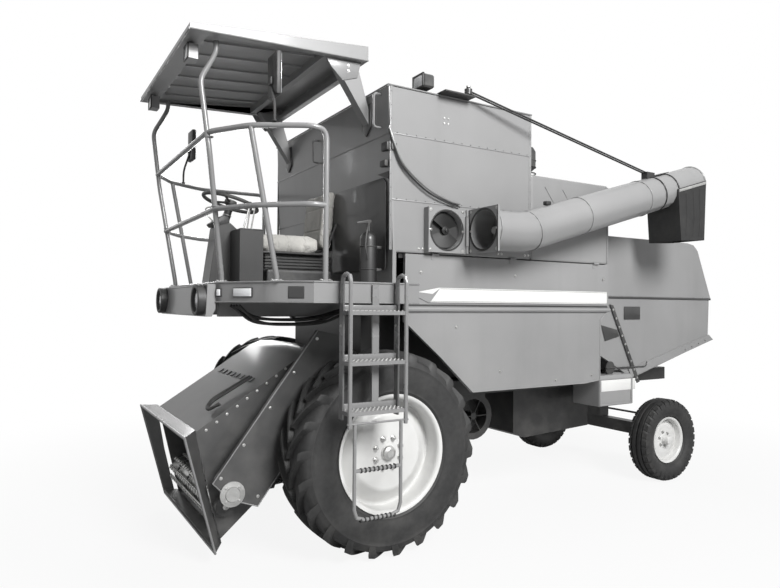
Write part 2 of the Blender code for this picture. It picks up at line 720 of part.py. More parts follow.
def side_shield(side):
    """Service panel below the tank, hung along its top edge, with a raised band and a grab tube."""
    inner, outer = BODY_HALF - PANEL_THICK, BODY_HALF
    panel = prism(shield_outline(), "y", *sorted((side * inner, side * outer)))
    band = prism([(SHIELD_FRONT - 0.06, (BAND_LOW + BAND_HIGH) / 2), (SHIELD_FRONT - 0.25, BAND_HIGH),
                  (SHIELD_REAR + 0.02, BAND_HIGH), (SHIELD_REAR + 0.02, BAND_LOW), (SHIELD_FRONT - 0.20, BAND_LOW)],
                 "y", *sorted((side * (outer - 0.01), side * (outer + BAND_PROUD))))
    grab = tube([(SHIELD_FRONT + 0.02, side * (outer + 0.010), SHIELD_GRAB),
                 (SHIELD_REAR, side * (outer + 0.010), SHIELD_GRAB)], SHIELD_GRAB_RADIUS)
    leaves = [shield_knuckle(x, side, -1) for x in SHIELD_HINGES]
    return fuse([panel, band, grab] + leaves)


def hood_upper():
    """Rear hood above the seam, open below and in front."""
    brow = HOOD_TAIL + 0.39
    outline = [(HOOD_FRONT, HOOD_SEAM), (HOOD_FRONT, HOOD_TOP), (brow, HOOD_TOP), (brow - 0.10, HOOD_TOP - 0.015),
               (brow - 0.17, HOOD_TOP - 0.07), (HOOD_TAIL, HOOD_SEAM)]
    outer = prism(outline, "y", -HOOD_HALF, HOOD_HALF)
    roof = HOOD_TOP - HOOD_WALL
    inner = prism([(HOOD_FRONT + 0.1, HOOD_SEAM - 0.1), (HOOD_FRONT + 0.1, roof), (brow + 0.01, roof),
                   (brow - 0.08, roof - 0.012), (brow - 0.14, roof - 0.06),
                   (HOOD_TAIL + HOOD_WALL, HOOD_SEAM), (HOOD_TAIL + HOOD_WALL, HOOD_SEAM - 0.1)], "y",
                  -HOOD_HALF + HOOD_WALL, HOOD_HALF - HOOD_WALL)
    return cut(outer, [inner])


def hood_skirt():
    """Straw deflector below the seam, with a flange along its sloping lower edge."""
    top = HOOD_SEAM - GAP
    fold = (HOOD_LIP + 0.075, HOOD_LIP_HEIGHT + 0.051)
    back = HOOD_TAIL + 0.025
    outline = [(HOOD_FRONT, top), (HOOD_FRONT, SKIRT_FRONT_LOW), SKIRT_TOE, (HOOD_LIP, HOOD_LIP_HEIGHT), fold,
               (back, top)]
    outer = prism(outline, "y", -HOOD_HALF + 0.004, HOOD_HALF - 0.004)
    below = SKIRT_TOE[1] - 0.145
    inner = prism([(HOOD_FRONT + 0.1, top + 0.1), (HOOD_FRONT + 0.1, below), (fold[0] + 2 * HOOD_WALL, below),
                   (fold[0] + HOOD_WALL, fold[1]), (back + HOOD_WALL, top + 0.1)], "y",
                  -HOOD_HALF + HOOD_WALL, HOOD_HALF - HOOD_WALL)
    pieces = [cut(outer, [inner])]
    lip = [(SKIRT_TOE[0] + 0.02, SKIRT_TOE[1] + 0.01), (HOOD_LIP, HOOD_LIP_HEIGHT), fold,
           (SKIRT_TOE[0] + 0.06, SKIRT_TOE[1] + 0.085)]
    for _, side in SIDES:
        low, high = sorted((side * (HOOD_HALF - 0.02), side * (HOOD_HALF + 0.008)))
        holes = [rod((HOOD_LIP + 0.14 + 0.11 * index, low - 0.01, lip_height(HOOD_LIP + 0.14 + 0.11 * index)),
                     (HOOD_LIP + 0.14 + 0.11 * index, high + 0.01, lip_height(HOOD_LIP + 0.14 + 0.11 * index)),
                     0.010, 10) for index in range(4)]
        pieces.append(cut(prism(lip, "y", low, high), holes))
    return fuse(pieces)


def lip_height(x):
    """The middle of the skirt's flange at this distance along the machine."""
    share = (x - SKIRT_TOE[0]) / (HOOD_LIP - SKIRT_TOE[0])
    return SKIRT_TOE[1] + share * (HOOD_LIP_HEIGHT - SKIRT_TOE[1]) + 0.028


def front_axle():
    """Beam, final-drive housings, axle stubs and the lift cylinders' brackets."""
    z = FRONT_TYRE_RADIUS
    inner = FRONT_TRACK / 2 - 0.160 - RUNNING_GAP
    pieces = [box((-0.09, -0.66, z - 0.09), (0.09, 0.66, z + 0.09))]
    for _, side in SIDES:
        pieces.append(rod((0, side * 0.62, z), (0, side * inner, z), 0.17, 24))
        pieces.append(rod((0, side * inner * 0.98, z), (0, side * (FRONT_TRACK / 2 + 0.07), z), STUB_RADIUS, 32))
        low, high = sorted((side * 0.62, side * 0.74))
        pieces.append(box((-0.12, low, z), (0.12, high, RAIL_BOTTOM - GAP)))
        x, pin_z = LIFT_PIN_FRAME
        for inset in (-0.035, 0.023):
            low, high = sorted((side * (LIFT_Y + inset), side * (LIFT_Y + inset + 0.012)))
            pieces.append(prism([(x - 0.035, pin_z - 0.035), (x + 0.035, pin_z - 0.035), (x + 0.06, z - 0.08),
                                 (x - 0.06, z - 0.08)], "y", low, high))
        pieces.append(rod((x, side * (LIFT_Y - 0.03), pin_z), (x, side * (LIFT_Y + 0.03), pin_z),
                          LIFT_PIN_RADIUS))
    return fuse(pieces)


def rear_axle():
    z = REAR_TYRE_RADIUS
    y = KINGPIN_Y
    pieces = [box((-WHEELBASE - 0.055, -y, z), (-WHEELBASE + 0.055, y, rear_beam_top()))]
    bore = bore_radius(KINGPIN_RADIUS, 20)
    for _, side in SIDES:
        pieces.append(rod((-WHEELBASE, side * y, z - 0.02), (-WHEELBASE, side * y, rear_beam_top() + 0.02),
                          KINGPIN_BOSS, 20))
    beam = fuse(pieces)
    return cut(beam, [rod((-WHEELBASE, side * y, z - 0.1), (-WHEELBASE, side * y, z + 0.2), bore, 20)
                      for _, side in SIDES])


def knuckle(side):
    """Yoke round the axle's boss, kingpin, wheel spindle and steering arm."""
    z, x, y = REAR_TYRE_RADIUS, -WHEELBASE, side * KINGPIN_Y
    top = rear_beam_top() + 0.02 + RUNNING_GAP
    low = z - 0.02 - RUNNING_GAP
    reach = side * (KINGPIN_Y + 0.085)
    spindle_end = side * (REAR_TRACK / 2 + 0.055)
    arms = sorted((y - side * 0.03, reach))
    block = sorted((side * (KINGPIN_Y + KINGPIN_BOSS + RUNNING_GAP), reach))
    pieces = [box((x - 0.04, arms[0], top), (x + 0.04, arms[1], top + 0.025)),
              box((x - 0.04, arms[0], low - 0.025), (x + 0.04, arms[1], low)),
              box((x - 0.04, block[0], low - 0.01), (x + 0.04, block[1], top + 0.01)),
              rod((x, y, low - 0.02), (x, y, top + 0.02), KINGPIN_RADIUS, 20),
              rod((x, y + side * 0.065, z), (x, spindle_end, z), SPINDLE_RADIUS, 24),
              box((x - STEER_ARM - 0.02, y - 0.02, top), (x, y + 0.02, top + 0.02)),
              rod((x - STEER_ARM, y, top + 0.01), (x - STEER_ARM, y, top + 0.05), TIE_PIN_RADIUS)]
    return fuse(pieces)


def tie_rod():
    x = -WHEELBASE - STEER_ARM
    z = rear_beam_top() + 0.02 + RUNNING_GAP + 0.02 + 0.001
    pieces = [rod((x, -KINGPIN_Y + 0.015, z + 0.012), (x, KINGPIN_Y - 0.015, z + 0.012), 0.011)]
    pieces += [rod((x, side * KINGPIN_Y, z), (x, side * KINGPIN_Y, z + 0.024), 0.026, 20) for _, side in SIDES]
    bar = fuse(pieces)
    bore = bore_radius(TIE_PIN_RADIUS)
    return cut(bar, [rod((x, side * KINGPIN_Y, z - 0.05), (x, side * KINGPIN_Y, z + 0.1), bore)
                     for _, side in SIDES])


def plan(inset=0.0):
    """Half the platform's plan, from its front corner back, drawn in by inset."""
    return [(x - inset if x > 0 else x + inset, y - inset) for x, y in PLATFORM_PLAN]


def whole_plan(inset=0.0):
    half = plan(inset)
    return half + [(x, -y) for x, y in reversed(half)]


def platform():
    low = PLATFORM_TOP - PLATFORM_DEPTH
    deck = prism(whole_plan(), "z", low, PLATFORM_TOP)
    deck = cut(deck, [prism(whole_plan(0.03), "z", low - 0.1, PLATFORM_TOP - PLATFORM_FLOOR)])
    inner, outer = PLATFORM_BEAM
    beams = mirrored_boxes((SEPARATOR_FRONT + GAP, inner, PLATFORM_BEAM_LOW),
                           (PLATFORM_FRONT - 0.09, outer, PLATFORM_TOP - 0.02))
    return fuse([deck] + beams)


def front_bumper():
    """Deep beam across the platform's front edge with two lamp bezels."""
    front = PLATFORM_FRONT + BUMPER_REACH
    outline = [(PLATFORM_FRONT + GAP, BUMPER_BOTTOM + 0.05), (PLATFORM_FRONT + GAP, BUMPER_TOP),
               (front, BUMPER_TOP), (front + 0.01, BUMPER_BOTTOM), (front - 0.03, BUMPER_BOTTOM)]
    pieces = [prism(outline, "y", -BUMPER_HALF, BUMPER_HALF)]
    for _, side in SIDES:
        y, z = side * LAMP_BEZEL_Y, LAMP_HEIGHT
        bezel = rod((front - 0.03, y, z), (front + LAMP_BEZEL_DEPTH, y, z), LAMP_BEZEL_RADIUS, 24)
        dish = rod((front + LAMP_DISH, y, z), (front + 0.1, y, z), LAMP_BEZEL_RADIUS - LAMP_BEZEL_RIM, 24)
        pieces.append(cut(bezel, [dish]))
    return fuse(pieces)


def seat_base():
    pod = bevelled(box((SEAT_REAR + 0.02, -SEAT_POD_HALF, PLATFORM_TOP + GAP),
                       (SEAT_REAR + 0.57, SEAT_POD_HALF, SEAT_POD_TOP)), 0.03)
    bellows = box((SEAT_REAR, -SEAT_HALF + 0.04, SEAT_POD_TOP - 0.03),
                  (SEAT_REAR + 0.53, SEAT_HALF - 0.04, SEAT_PAN - GAP))
    return fuse([pod, bellows])


def seat_cushion():
    return bevelled(box((SEAT_REAR + 0.07, -SEAT_HALF, SEAT_PAN),
                        (SEAT_REAR + 0.59, SEAT_HALF, SEAT_PAN + 0.13)), 0.035)


def seat_back():
    front = SEAT_REAR + 0.0695
    steps = ((front, 0.0), (SEAT_REAR, 0.0), (SEAT_REAR - 0.015, 0.04), (SEAT_REAR - 0.06, 0.48),
             (SEAT_REAR - 0.03, 0.54), (SEAT_REAR + 0.03, 0.54), (SEAT_REAR + 0.08, 0.44), (front + 0.005, 0.18),
             (front, 0.132))
    return prism([(x, SEAT_PAN + rise) for x, rise in steps], "y", -SEAT_HALF + 0.02, SEAT_HALF - 0.02)


def console():
    """Steering column on its pedestal, with the side control box."""
    x, z = WHEEL_CENTRE
    foot = PLATFORM_TOP + GAP
    pedestal = prism([(x - 0.07, foot), (x + 0.19, foot), (x + 0.13, z - 0.20), (x + 0.03, z - 0.17),
                      (x - 0.03, z - 0.22)], "y", -PEDESTAL_HALF, PEDESTAL_HALF)
    centre = Vector((WHEEL_CENTRE[0], 0, WHEEL_CENTRE[1]))
    way = Vector((-math.sin(WHEEL_TILT), 0, math.cos(WHEEL_TILT)))
    column = rod(centre - way * 0.25, centre - way * (0.018 + GAP), 0.03)
    box_side = box((x - 0.15, PEDESTAL_HALF, foot), (x + 0.03, PEDESTAL_HALF + 0.24, z - 0.24))
    return fuse([pedestal, column, box_side])


def steering_wheel():
    """Rim, three spokes and hub on the column's tilt."""
    bm = bmesh.new()
    centre = Vector((WHEEL_CENTRE[0], 0, WHEEL_CENTRE[1]))
    tilt = Matrix.Translation(centre) @ Matrix.Rotation(-WHEEL_TILT, 4, "Y")
    ring = turned([(WHEEL_RADIUS + WHEEL_GRIP * math.cos(step * math.tau / 6),
                    WHEEL_GRIP * math.sin(step * math.tau / 6)) for step in range(6)], (0, 0, 0), 1, 20)
    pieces = [ring, rod((0, -0.018, 0), (0, 0.018, 0), 0.045)]
    for index in range(3):
        turn = index * math.tau / 3
        pieces.append(rod((0.02 * math.cos(turn), 0, 0.02 * math.sin(turn)),
                          (WHEEL_RADIUS * math.cos(turn), 0, WHEEL_RADIUS * math.sin(turn)), 0.009, 8))
    wheel = fuse(pieces)
    bm.from_mesh(wheel.data)
    bpy.data.objects.remove(wheel, do_unlink=True)
    bmesh.ops.transform(bm, matrix=tilt @ Matrix.Rotation(math.pi / 2, 4, "X"), verts=bm.verts)
    return from_bmesh("wheel", bm)


def front_post(side):
    """The bent post from the platform's front corner up to the roof."""
    foot = PLATFORM_TOP + GAP
    roof = canopy_low(1.10) - GAP - TUBE_RADIUS * 0.05
    points = [(1.03, 0.68, foot), (1.03, 0.68, foot + 0.03), (1.15, POST_TOP_Y + 0.004, TOP_RAIL - 0.115),
              (1.21, 0.77, TOP_RAIL + 0.345), (1.12, 0.74, roof - 0.115), (1.10, 0.73, roof - 0.065),
              (1.10, 0.73, roof)]
    return bent([(x, side * y, z) for x, y, z in points], 0.05)


def rails_left():
    """Front and left guard rails with their posts."""
    foot = PLATFORM_TOP + GAP
    far_top = (TOP_RAIL_PLAN[0][0], -POST_TOP_Y + TUBE_RADIUS + GAP, TOP_RAIL)
    far_middle = (1.097, -POST_MID_Y + TUBE_RADIUS + GAP, MID_RAIL)
    top = bent([far_top] + [(x, y, TOP_RAIL) for x, y in TOP_RAIL_PLAN]
               + [(0.56, 1.30, TOP_RAIL - 0.02), (0.56, 1.30, foot)], 0.07)
    middle = bent([far_middle] + [(x, y, MID_RAIL) for x, y in MID_RAIL_PLAN] + [(0.56, 1.30, MID_RAIL)], 0.05)
    side_post = [(0.80, 1.09, foot), (0.80, 1.09, foot + 0.03), (0.98, 1.09, TOP_RAIL)]
    return fuse([tube(front_post(1), TUBE_RADIUS), tube(top, TUBE_RADIUS), tube(middle, TUBE_RADIUS),
                 tube(side_post, TUBE_RADIUS)])


def rails_right():
    foot = PLATFORM_TOP + GAP
    pieces = [tube(front_post(-1), TUBE_RADIUS)]
    top = [(x, -y, TOP_RAIL) for x, y in TOP_RAIL_PLAN]
    middle = [(1.095, -0.775, MID_RAIL)] + [(x, -y, MID_RAIL) for x, y in MID_RAIL_PLAN[1:]]
    pieces.append(tube(bent(top + [(RIGHT_RAIL_REAR, -1.30, TOP_RAIL), (RIGHT_RAIL_REAR, -1.30, foot)], 0.07),
                       TUBE_RADIUS))
    pieces.append(tube(bent(middle + [(RIGHT_RAIL_REAR + 0.006, -1.30, MID_RAIL)], 0.07), TUBE_RADIUS))
    pieces.append(tube([(0.80, -1.09, foot), (0.80, -1.09, foot + 0.03), (0.98, -1.09, TOP_RAIL)], TUBE_RADIUS))
    return fuse(pieces)


def canopy_low(x):
    share = (CANOPY_FRONT - x) / (CANOPY_FRONT - CANOPY_REAR)
    return CANOPY_FRONT_LOW + share * (CANOPY_REAR_LOW - CANOPY_FRONT_LOW)


def canopy():
    """Roof: a wedge that deepens to the rear, hollow below, with lengthwise ribs, a rear sill and two lamps."""
    outline = [(CANOPY_FRONT, CANOPY_FRONT_LOW), (CANOPY_FRONT, CANOPY_FRONT_HIGH),
               (CANOPY_REAR, CANOPY_REAR_HIGH), (CANOPY_REAR, CANOPY_REAR_LOW)]
    roof = prism(outline, "y", -CANOPY_HALF, CANOPY_HALF)
    front, rear = CANOPY_FRONT - 0.13, CANOPY_REAR + CANOPY_WALL
    ceiling = (canopy_low(front) + 0.025, CANOPY_REAR_HIGH - 0.035)
    pocket = prism([(front, CANOPY_FRONT_LOW - 0.1), (front, ceiling[0]), (rear, ceiling[1]),
                    (rear, CANOPY_FRONT_LOW - 0.1)], "y", -CANOPY_HALF + 0.05, CANOPY_HALF - 0.05)
    sill = CANOPY_REAR + 0.33
    drop = ceiling[0] + (front - sill) / (front - rear) * (ceiling[1] - ceiling[0])
    pieces = [cut(roof, [pocket]),
              box((sill - 0.05, -CANOPY_HALF + 0.04, canopy_low(sill) + 0.003), (sill, CANOPY_HALF - 0.04, drop + 0.01))]
    for y in CANOPY_RIBS:
        pieces.append(prism([(front + 0.01, ceiling[0] - 0.012), (front + 0.01, ceiling[0] + 0.008),
                             (sill - 0.01, drop + 0.008), (sill - 0.01, drop - 0.014)], "y", y - 0.012, y + 0.012))
    for _, side in SIDES:
        y = side * CANOPY_LAMP_Y
        low = CANOPY_FRONT_LOW - 0.115
        pieces.append(box((CANOPY_FRONT - 0.10, y - 0.05, low), (CANOPY_FRONT - 0.035, y + 0.05, low + 0.10)))
        pieces.append(rod((CANOPY_FRONT - 0.07, y, low + 0.09), (CANOPY_FRONT - 0.07, y, CANOPY_FRONT_LOW + 0.01),
                          0.012, 8))
    return fuse(pieces)


def canopy_struts():
    """Two channels from the roof down to the tank's front wall, and the tie between them."""
    pieces = []
    for _, side in SIDES:
        low, high = sorted((side * 0.72, side * 0.80))
        foot = min(TANK_TOP, canopy_low(0.09) - STRUT_FALL) - STRUT_FOOT
        heel = foot - STRUT_HEEL
        pieces.append(prism([(0.29, canopy_low(0.29) - GAP), (0.09, canopy_low(0.09) - GAP),
                             (tank_front(foot), foot), (tank_front(heel), heel)], "y", low, high))
    tie = canopy_low(0.15) - 0.045
    pieces.append(box((0.10, -0.73, tie - 0.04), (0.15, 0.73, tie)))
    return fuse(pieces)


def tank_front(z):
    """The tank's front face at this height, less the gap that touching pieces keep."""
    share = (z - DECK_TOP) / (TANK_TOP - DECK_TOP)
    return TANK_FRONT_BOTTOM + share * (TANK_FRONT_TOP - TANK_FRONT_BOTTOM) + GAP


def mirror(side):
    """Rear-view mirror on a bent arm clamped to the top rail."""
    y = side * 1.0
    low, high = sorted((y - side * 0.02, y + side * 0.14))
    bottom = TOP_RAIL + 0.215
    glass = bevelled(box((0.80, low, bottom), (0.83, high, bottom + 0.27)), 0.012, 1)
    arm = tube(bent([(0.86, side * 1.185, TOP_RAIL + TUBE_RADIUS + GAP), (0.86, side * 1.185, TOP_RAIL + 0.135),
                     (0.84, side * 1.06, bottom + 0.05), (0.82, side * 1.06, bottom + 0.09)], 0.04), 0.009)
    return fuse([glass, arm])


def work_lamp():
    base = TANK_TOP + GAP
    y = BODY_HALF - 0.095
    foot = box((-0.42, y - 0.04, base), (-0.34, y + 0.04, base + 0.02))
    stem = rod((-0.38, y, base + 0.01), (-0.38, y, base + 0.07), 0.008, 8)
    shell = bevelled(box((-0.43, y - 0.07, base + 0.05), (-0.33, y + 0.07, base + 0.15)), 0.012, 1)
    return fuse([foot, stem, shell])


def ladder():
    """Two stiles with three treads, bolted to the platform's side."""
    pieces = []
    for x in (LADDER_REAR, LADDER_FRONT):
        pieces.append(box((x - 0.006, LADDER_INNER, 1.0), (x + 0.006, LADDER_INNER + 0.05, 1.85)))
        loop = bent([(x, LADDER_INNER + 0.03, 1.72), (x, LADDER_INNER + 0.03, 1.90),
                     (x, LADDER_OUTER, 1.90), (x, LADDER_OUTER, 0.96)], 0.05)
        pieces.append(tube(loop, 0.014))
    for z in TREADS:
        pieces.append(box((LADDER_REAR - 0.005, TREAD_BACK, z - 0.012),
                          (LADDER_FRONT + 0.005, LADDER_OUTER + 0.005, z + 0.012)))
        pieces.append(box((LADDER_REAR, TREAD_BACK, z), (LADDER_FRONT, TREAD_BACK + 0.01, z + 0.05)))
    y, hinge = STEP_HINGE
    bore = rod((LADDER_REAR - 0.05, y, hinge), (LADDER_FRONT + 0.05, y, hinge), bore_radius(STEP_PIN_RADIUS, 12), 12)
    return cut(fuse(pieces), [bore])


def ladder_strip():
    """Upright flat bar seated against the backs of the treads."""
    rear, front = LADDER_STRIP
    return box((rear, STRIP_BACK, TREADS[-1] - STRIP_FOOT), (front, TREAD_BACK - GAP, STRIP_TOP))


def ladder_step():
    """Lower stirrup hung from the ladder's foot."""
    y, hinge = STEP_HINGE
    front, rear = LADDER_FRONT - 0.035, LADDER_REAR + 0.035
    loop = bent([(front, y, hinge), (front, y, STIRRUP_BOTTOM), (rear, y, STIRRUP_BOTTOM), (rear, y, hinge)],
                0.07)
    pieces = [tube(loop, 0.012), rod((rear, y, 0.70), (front, y, 0.70), 0.012, 8),
              rod((LADDER_REAR - 0.018, y, hinge), (LADDER_FRONT + 0.018, y, hinge), STEP_PIN_RADIUS, 12)]
    return fuse(pieces)


def auger_outlet():
    """Square flange on the tank's side with a round throat and the fixed half of the hinge."""
    low, high = HINGE_X + 0.02, HINGE_X + 0.02 + OUTLET_SIZE
    bottom, top = OUTLET_BOTTOM, OUTLET_BOTTOM + OUTLET_SIZE
    face = HINGE_Y - OUTLET_GAP
    block = box((low, BODY_HALF + GAP, bottom), (high, face, top))
    throat = rod(((low + high) / 2, BODY_HALF + 0.006, AUGER_HEIGHT), ((low + high) / 2, face + 0.1, AUGER_HEIGHT),
                 AUGER_BORE, 32)
    block = cut(block, [throat])
    pieces = [block, rod((HINGE_X, HINGE_Y, bottom), (HINGE_X, HINGE_Y, top), HINGE_PIN_RADIUS)]
    for z in (bottom, top - OUTLET_LUG_HEIGHT):
        pieces.append(rod((HINGE_X, HINGE_Y, z), (HINGE_X, HINGE_Y, z + OUTLET_LUG_HEIGHT), OUTLET_LUG))
        pieces.append(box((HINGE_X - 0.008, face - 0.03, z), (low + 0.01, face, z + OUTLET_LUG_HEIGHT)))
    return fuse(pieces)


def screw(start, length, direction, turns):
    """Flighting: a helical ribbon wound on its shaft."""
    steps = 14
    pitch = length / turns
    bm = bmesh.new()
    thickness = 0.006
    rings = []
    for step in range(int(turns * steps) + 1):
        turn = step / steps * math.tau
        along = step / steps * pitch
        ring = []
        for radius in (0.018, FLIGHT_RADIUS):
            for shift in (0, thickness):
                ring.append(bm.verts.new((radius * math.cos(turn), radius * math.sin(turn), along + shift)))
        rings.append([ring[0], ring[1], ring[3], ring[2]])
    for one, other in zip(rings, rings[1:]):
        for i in range(4):
            j = (i + 1) % 4
            bm.faces.new((one[i], one[j], other[j], other[i]))
    bm.faces.new(rings[0])
    bm.faces.new(rings[-1])
    turn = Vector(direction).to_track_quat("Z", "Y").to_matrix().to_4x4()
    bmesh.ops.transform(bm, matrix=Matrix.Translation(Vector(start)) @ turn, verts=bm.verts)
    bmesh.ops.triangulate(bm, faces=bm.faces)
    ribbon = from_bmesh("ribbon", bm)
    way = Vector(direction)
    shaft = rod(Vector(start) - way * (0.10 - GAP), Vector(start) + way * (length + 0.03), SHAFT_RADIUS, 20)
    return combine(shaft, [ribbon], "UNION", "MANIFOLD")


def tube_middle():
    """The distance of the tube's axis from the machine's middle when it is folded back."""
    return HINGE_Y + FLANGE_CLEAR + OUTLET_SIZE / 2


def auger_pipe(radius):
    """The bent tube from its flange to its end, as a solid of this radius."""
    y = tube_middle()
    end_x, end_z = AUGER_END
    path = bent([(HINGE_X - FLANGE_THICK + 0.005, y, AUGER_HEIGHT), (AUGER_ELBOW_X, y, AUGER_HEIGHT),
                 (end_x, y, end_z)], 0.10)
    return tube(path, radius, 6)


def auger_tube():
    """Swinging conveyor tube with its square flange, hinge barrel and the slot above its boot."""
    y = tube_middle()
    front = HINGE_X - FLANGE_THICK
    bottom, top = OUTLET_BOTTOM, OUTLET_BOTTOM + OUTLET_SIZE
    flange = box((front, HINGE_Y + FLANGE_CLEAR, bottom), (HINGE_X, HINGE_Y + FLANGE_CLEAR + OUTLET_SIZE, top))
    low, high = bottom + OUTLET_LUG_HEIGHT, top - OUTLET_LUG_HEIGHT
    barrel = rod((HINGE_X, HINGE_Y, low + 0.005), (HINGE_X, HINGE_Y, high - 0.005), HINGE_BARREL_RADIUS)
    web = box((front, HINGE_Y + 0.005, low + 0.01), (HINGE_X, HINGE_Y + 0.03, high - 0.01))
    journal = rod((HINGE_X, y, AUGER_HEIGHT), (AUGER_ELBOW_X - 0.01, y, AUGER_HEIGHT),
                  bore_radius(SHAFT_RADIUS, 20), 20)
    body = fuse([flange, auger_pipe(AUGER_RADIUS), barrel, web])
    bore = rod((HINGE_X, HINGE_Y, bottom - 0.1), (HINGE_X, HINGE_Y, top + 0.1), bore_radius(HINGE_PIN_RADIUS))
    hollow = rod((HINGE_X + 0.1, y, AUGER_HEIGHT), (AUGER_ELBOW_X + 0.06, y, AUGER_HEIGHT), AUGER_BORE, 32)
    middle = (BOOT_FRONT + BOOT_REAR) / 2
    slot = box((BOOT_REAR + 0.10, y - 0.10, BOOT_BOTTOM), (BOOT_FRONT - 0.06, y + 0.10, tube_axis(middle) + 0.05))
    return cut(body, [bore, hollow, journal, slot])


def tube_axis(x):
    """The height of the rising tube's axis at this distance along the machine."""
    slope = (AUGER_END[1] - AUGER_HEIGHT) / (AUGER_ELBOW_X - AUGER_END[0])
    return AUGER_HEIGHT + (AUGER_ELBOW_X - x) * slope


def spout_boot():
    """Rubber boot fixed along the tube's sides near its end, open below."""
    y = tube_middle()
    outline = [(BOOT_FRONT - 0.04, BOOT_BOTTOM), (BOOT_FRONT, tube_axis(BOOT_FRONT)),
               (BOOT_REAR, tube_axis(BOOT_REAR)), (BOOT_REAR + 0.03, BOOT_BOTTOM + 0.02)]
    half = AUGER_RADIUS + BOOT_WALL
    outer = prism(outline, "y", y - half, y + half)
    wall = 1.3 * BOOT_WALL
    inside = prism([(BOOT_FRONT - 0.05 - wall, BOOT_BOTTOM - 0.1), (BOOT_FRONT - wall, tube_axis(BOOT_FRONT)),
                    (BOOT_REAR + wall, tube_axis(BOOT_REAR)), (BOOT_REAR + 0.04 + wall, BOOT_BOTTOM - 0.1)], "y",
                   y - AUGER_RADIUS + BOOT_WALL, y + AUGER_RADIUS - BOOT_WALL)
    return cut(outer, [auger_pipe(AUGER_RADIUS + GAP), inside])


def stay_bracket():
    base = TANK_TOP + GAP
    plate = box((HINGE_X - 0.05, BODY_HALF - 0.10, base), (HINGE_X + 0.23, HINGE_Y + 0.03, base + 0.012))
    pin = rod((HINGE_X, HINGE_Y, base + 0.01), (HINGE_X, HINGE_Y, base + 0.075), STAY_PIN_RADIUS)
    return fuse([plate, pin])


def auger_stays():
    """Two stay rods from the pivot above the hinge down to a clamp on the tube."""
    y = tube_middle()
    z = TANK_TOP + 0.02
    hub = rod((HINGE_X, HINGE_Y, z), (HINGE_X, HINGE_Y, z + 0.04), 0.03)
    top = tube_axis(CLAMP_X) + AUGER_RADIUS
    clamp = cut(box((CLAMP_X - 0.05, y - 0.03, top - 0.03), (CLAMP_X + 0.05, y + 0.03, top + 0.05)),
                [auger_pipe(AUGER_RADIUS + GAP)])
    pieces = [hub, clamp]
    for shift in (-0.015, 0.015):
        pieces.append(rod((HINGE_X - 0.01, HINGE_Y + shift, z + 0.02), (CLAMP_X, y + shift, top + 0.035),
                          STAY_RADIUS, 8))
    body = fuse(pieces)
    return cut(body, [rod((HINGE_X, HINGE_Y, z - 0.1), (HINGE_X, HINGE_Y, z + 0.1),
                          bore_radius(STAY_PIN_RADIUS))])


def extinguisher():
    base = PLATFORM_TOP + GAP
    steps = ((0, 0), (0.055, 0), (0.06, 0.013), (0.06, 0.313), (0.045, 0.353), (0.018, 0.368), (0.018, 0.403),
             (0, 0.408))
    return upright([(radius, base + rise) for radius, rise in steps], 0.08, BODY_HALF - 0.10, 16)


def battery_box():
    outer = BODY_HALF - 0.04
    inner = RAIL_HALF + GAP
    low, high = BATTERY_BOTTOM, RAIL_BOTTOM + RAIL_DEPTH
    outline = [(inner, low), (outer, low), (outer, high - 0.03), (outer - 0.02, high), (inner, high)]
    return prism(outline, "x", *BATTERY_SPAN)


def fan_housing():
    """Cleaning fan's drum, open at both ends behind a guard of rings and spokes."""
    x, z = FAN_AXIS
    drum = rod((x, -FAN_HALF, z), (x, FAN_HALF, z), FAN_RADIUS, 28)
    crown = box((x - 0.13, -FAN_HALF, z + 0.05), (x + 0.15, FAN_HALF, SEPARATOR_BOTTOM - GAP))
    ends = [rod((x, side * (FAN_HALF - FAN_INTAKE_DEPTH), z), (x, side * (FAN_HALF + 0.1), z), FAN_INTAKE, 28)
            for _, side in SIDES]
    pieces = [cut(fuse([drum, crown]), ends)]
    for _, side in SIDES:
        face = side * (FAN_HALF - GUARD_WIRE)
        pieces.append(rod((x, side * (FAN_HALF - FAN_INTAKE_DEPTH - 0.01), z), (x, side * FAN_HALF, z), 0.03, 12))
        for index in range(GUARD_SPOKES):
            turn = math.tau * index / GUARD_SPOKES
            way = Vector((math.cos(turn), 0, math.sin(turn)))
            hub = Vector((x, face, z))
            pieces.append(rod(hub + way * 0.02, hub + way * (FAN_INTAKE + 0.01), GUARD_WIRE, 6))
    return fuse(pieces)


def sieve_box():
    top = SEPARATOR_BOTTOM - GAP
    outline = [(SIEVE_UNDERSIDE[0][0], top), *SIEVE_UNDERSIDE, (SIEVE_UNDERSIDE[-1][0], top)]
    return prism(outline, "y", -SIEVE_HALF, SIEVE_HALF)


def along_feeder(distance, height):
    """A point of the feeder's side view: distance down the slope from its shaft, height square to it."""
    x, z = FEEDER_SHAFT
    cos, sin = math.cos(FEEDER_SLOPE), math.sin(FEEDER_SLOPE)
    return (x + distance * cos + height * sin, z - distance * sin + height * cos)


def feeder_outline():
    radius = FEEDER_RADIUS
    arc = [along_feeder(-radius * math.sin(step * math.pi / 8), radius * math.cos(step * math.pi / 8))
           for step in range(9)]
    return arc + [FEEDER_FOOT, along_feeder(FEEDER_LENGTH, radius)]


def feeder_end(rise, ahead):
    """Points of the feeder's end plane: top and foot, spread by rise and moved ahead of the plane."""
    top, foot = Vector(along_feeder(FEEDER_LENGTH, FEEDER_RADIUS)), Vector(FEEDER_FOOT)
    up = (top - foot).normalized()
    forward = Vector((up.y, -up.x))
    return top + up * rise + forward * ahead, foot - up * rise + forward * ahead


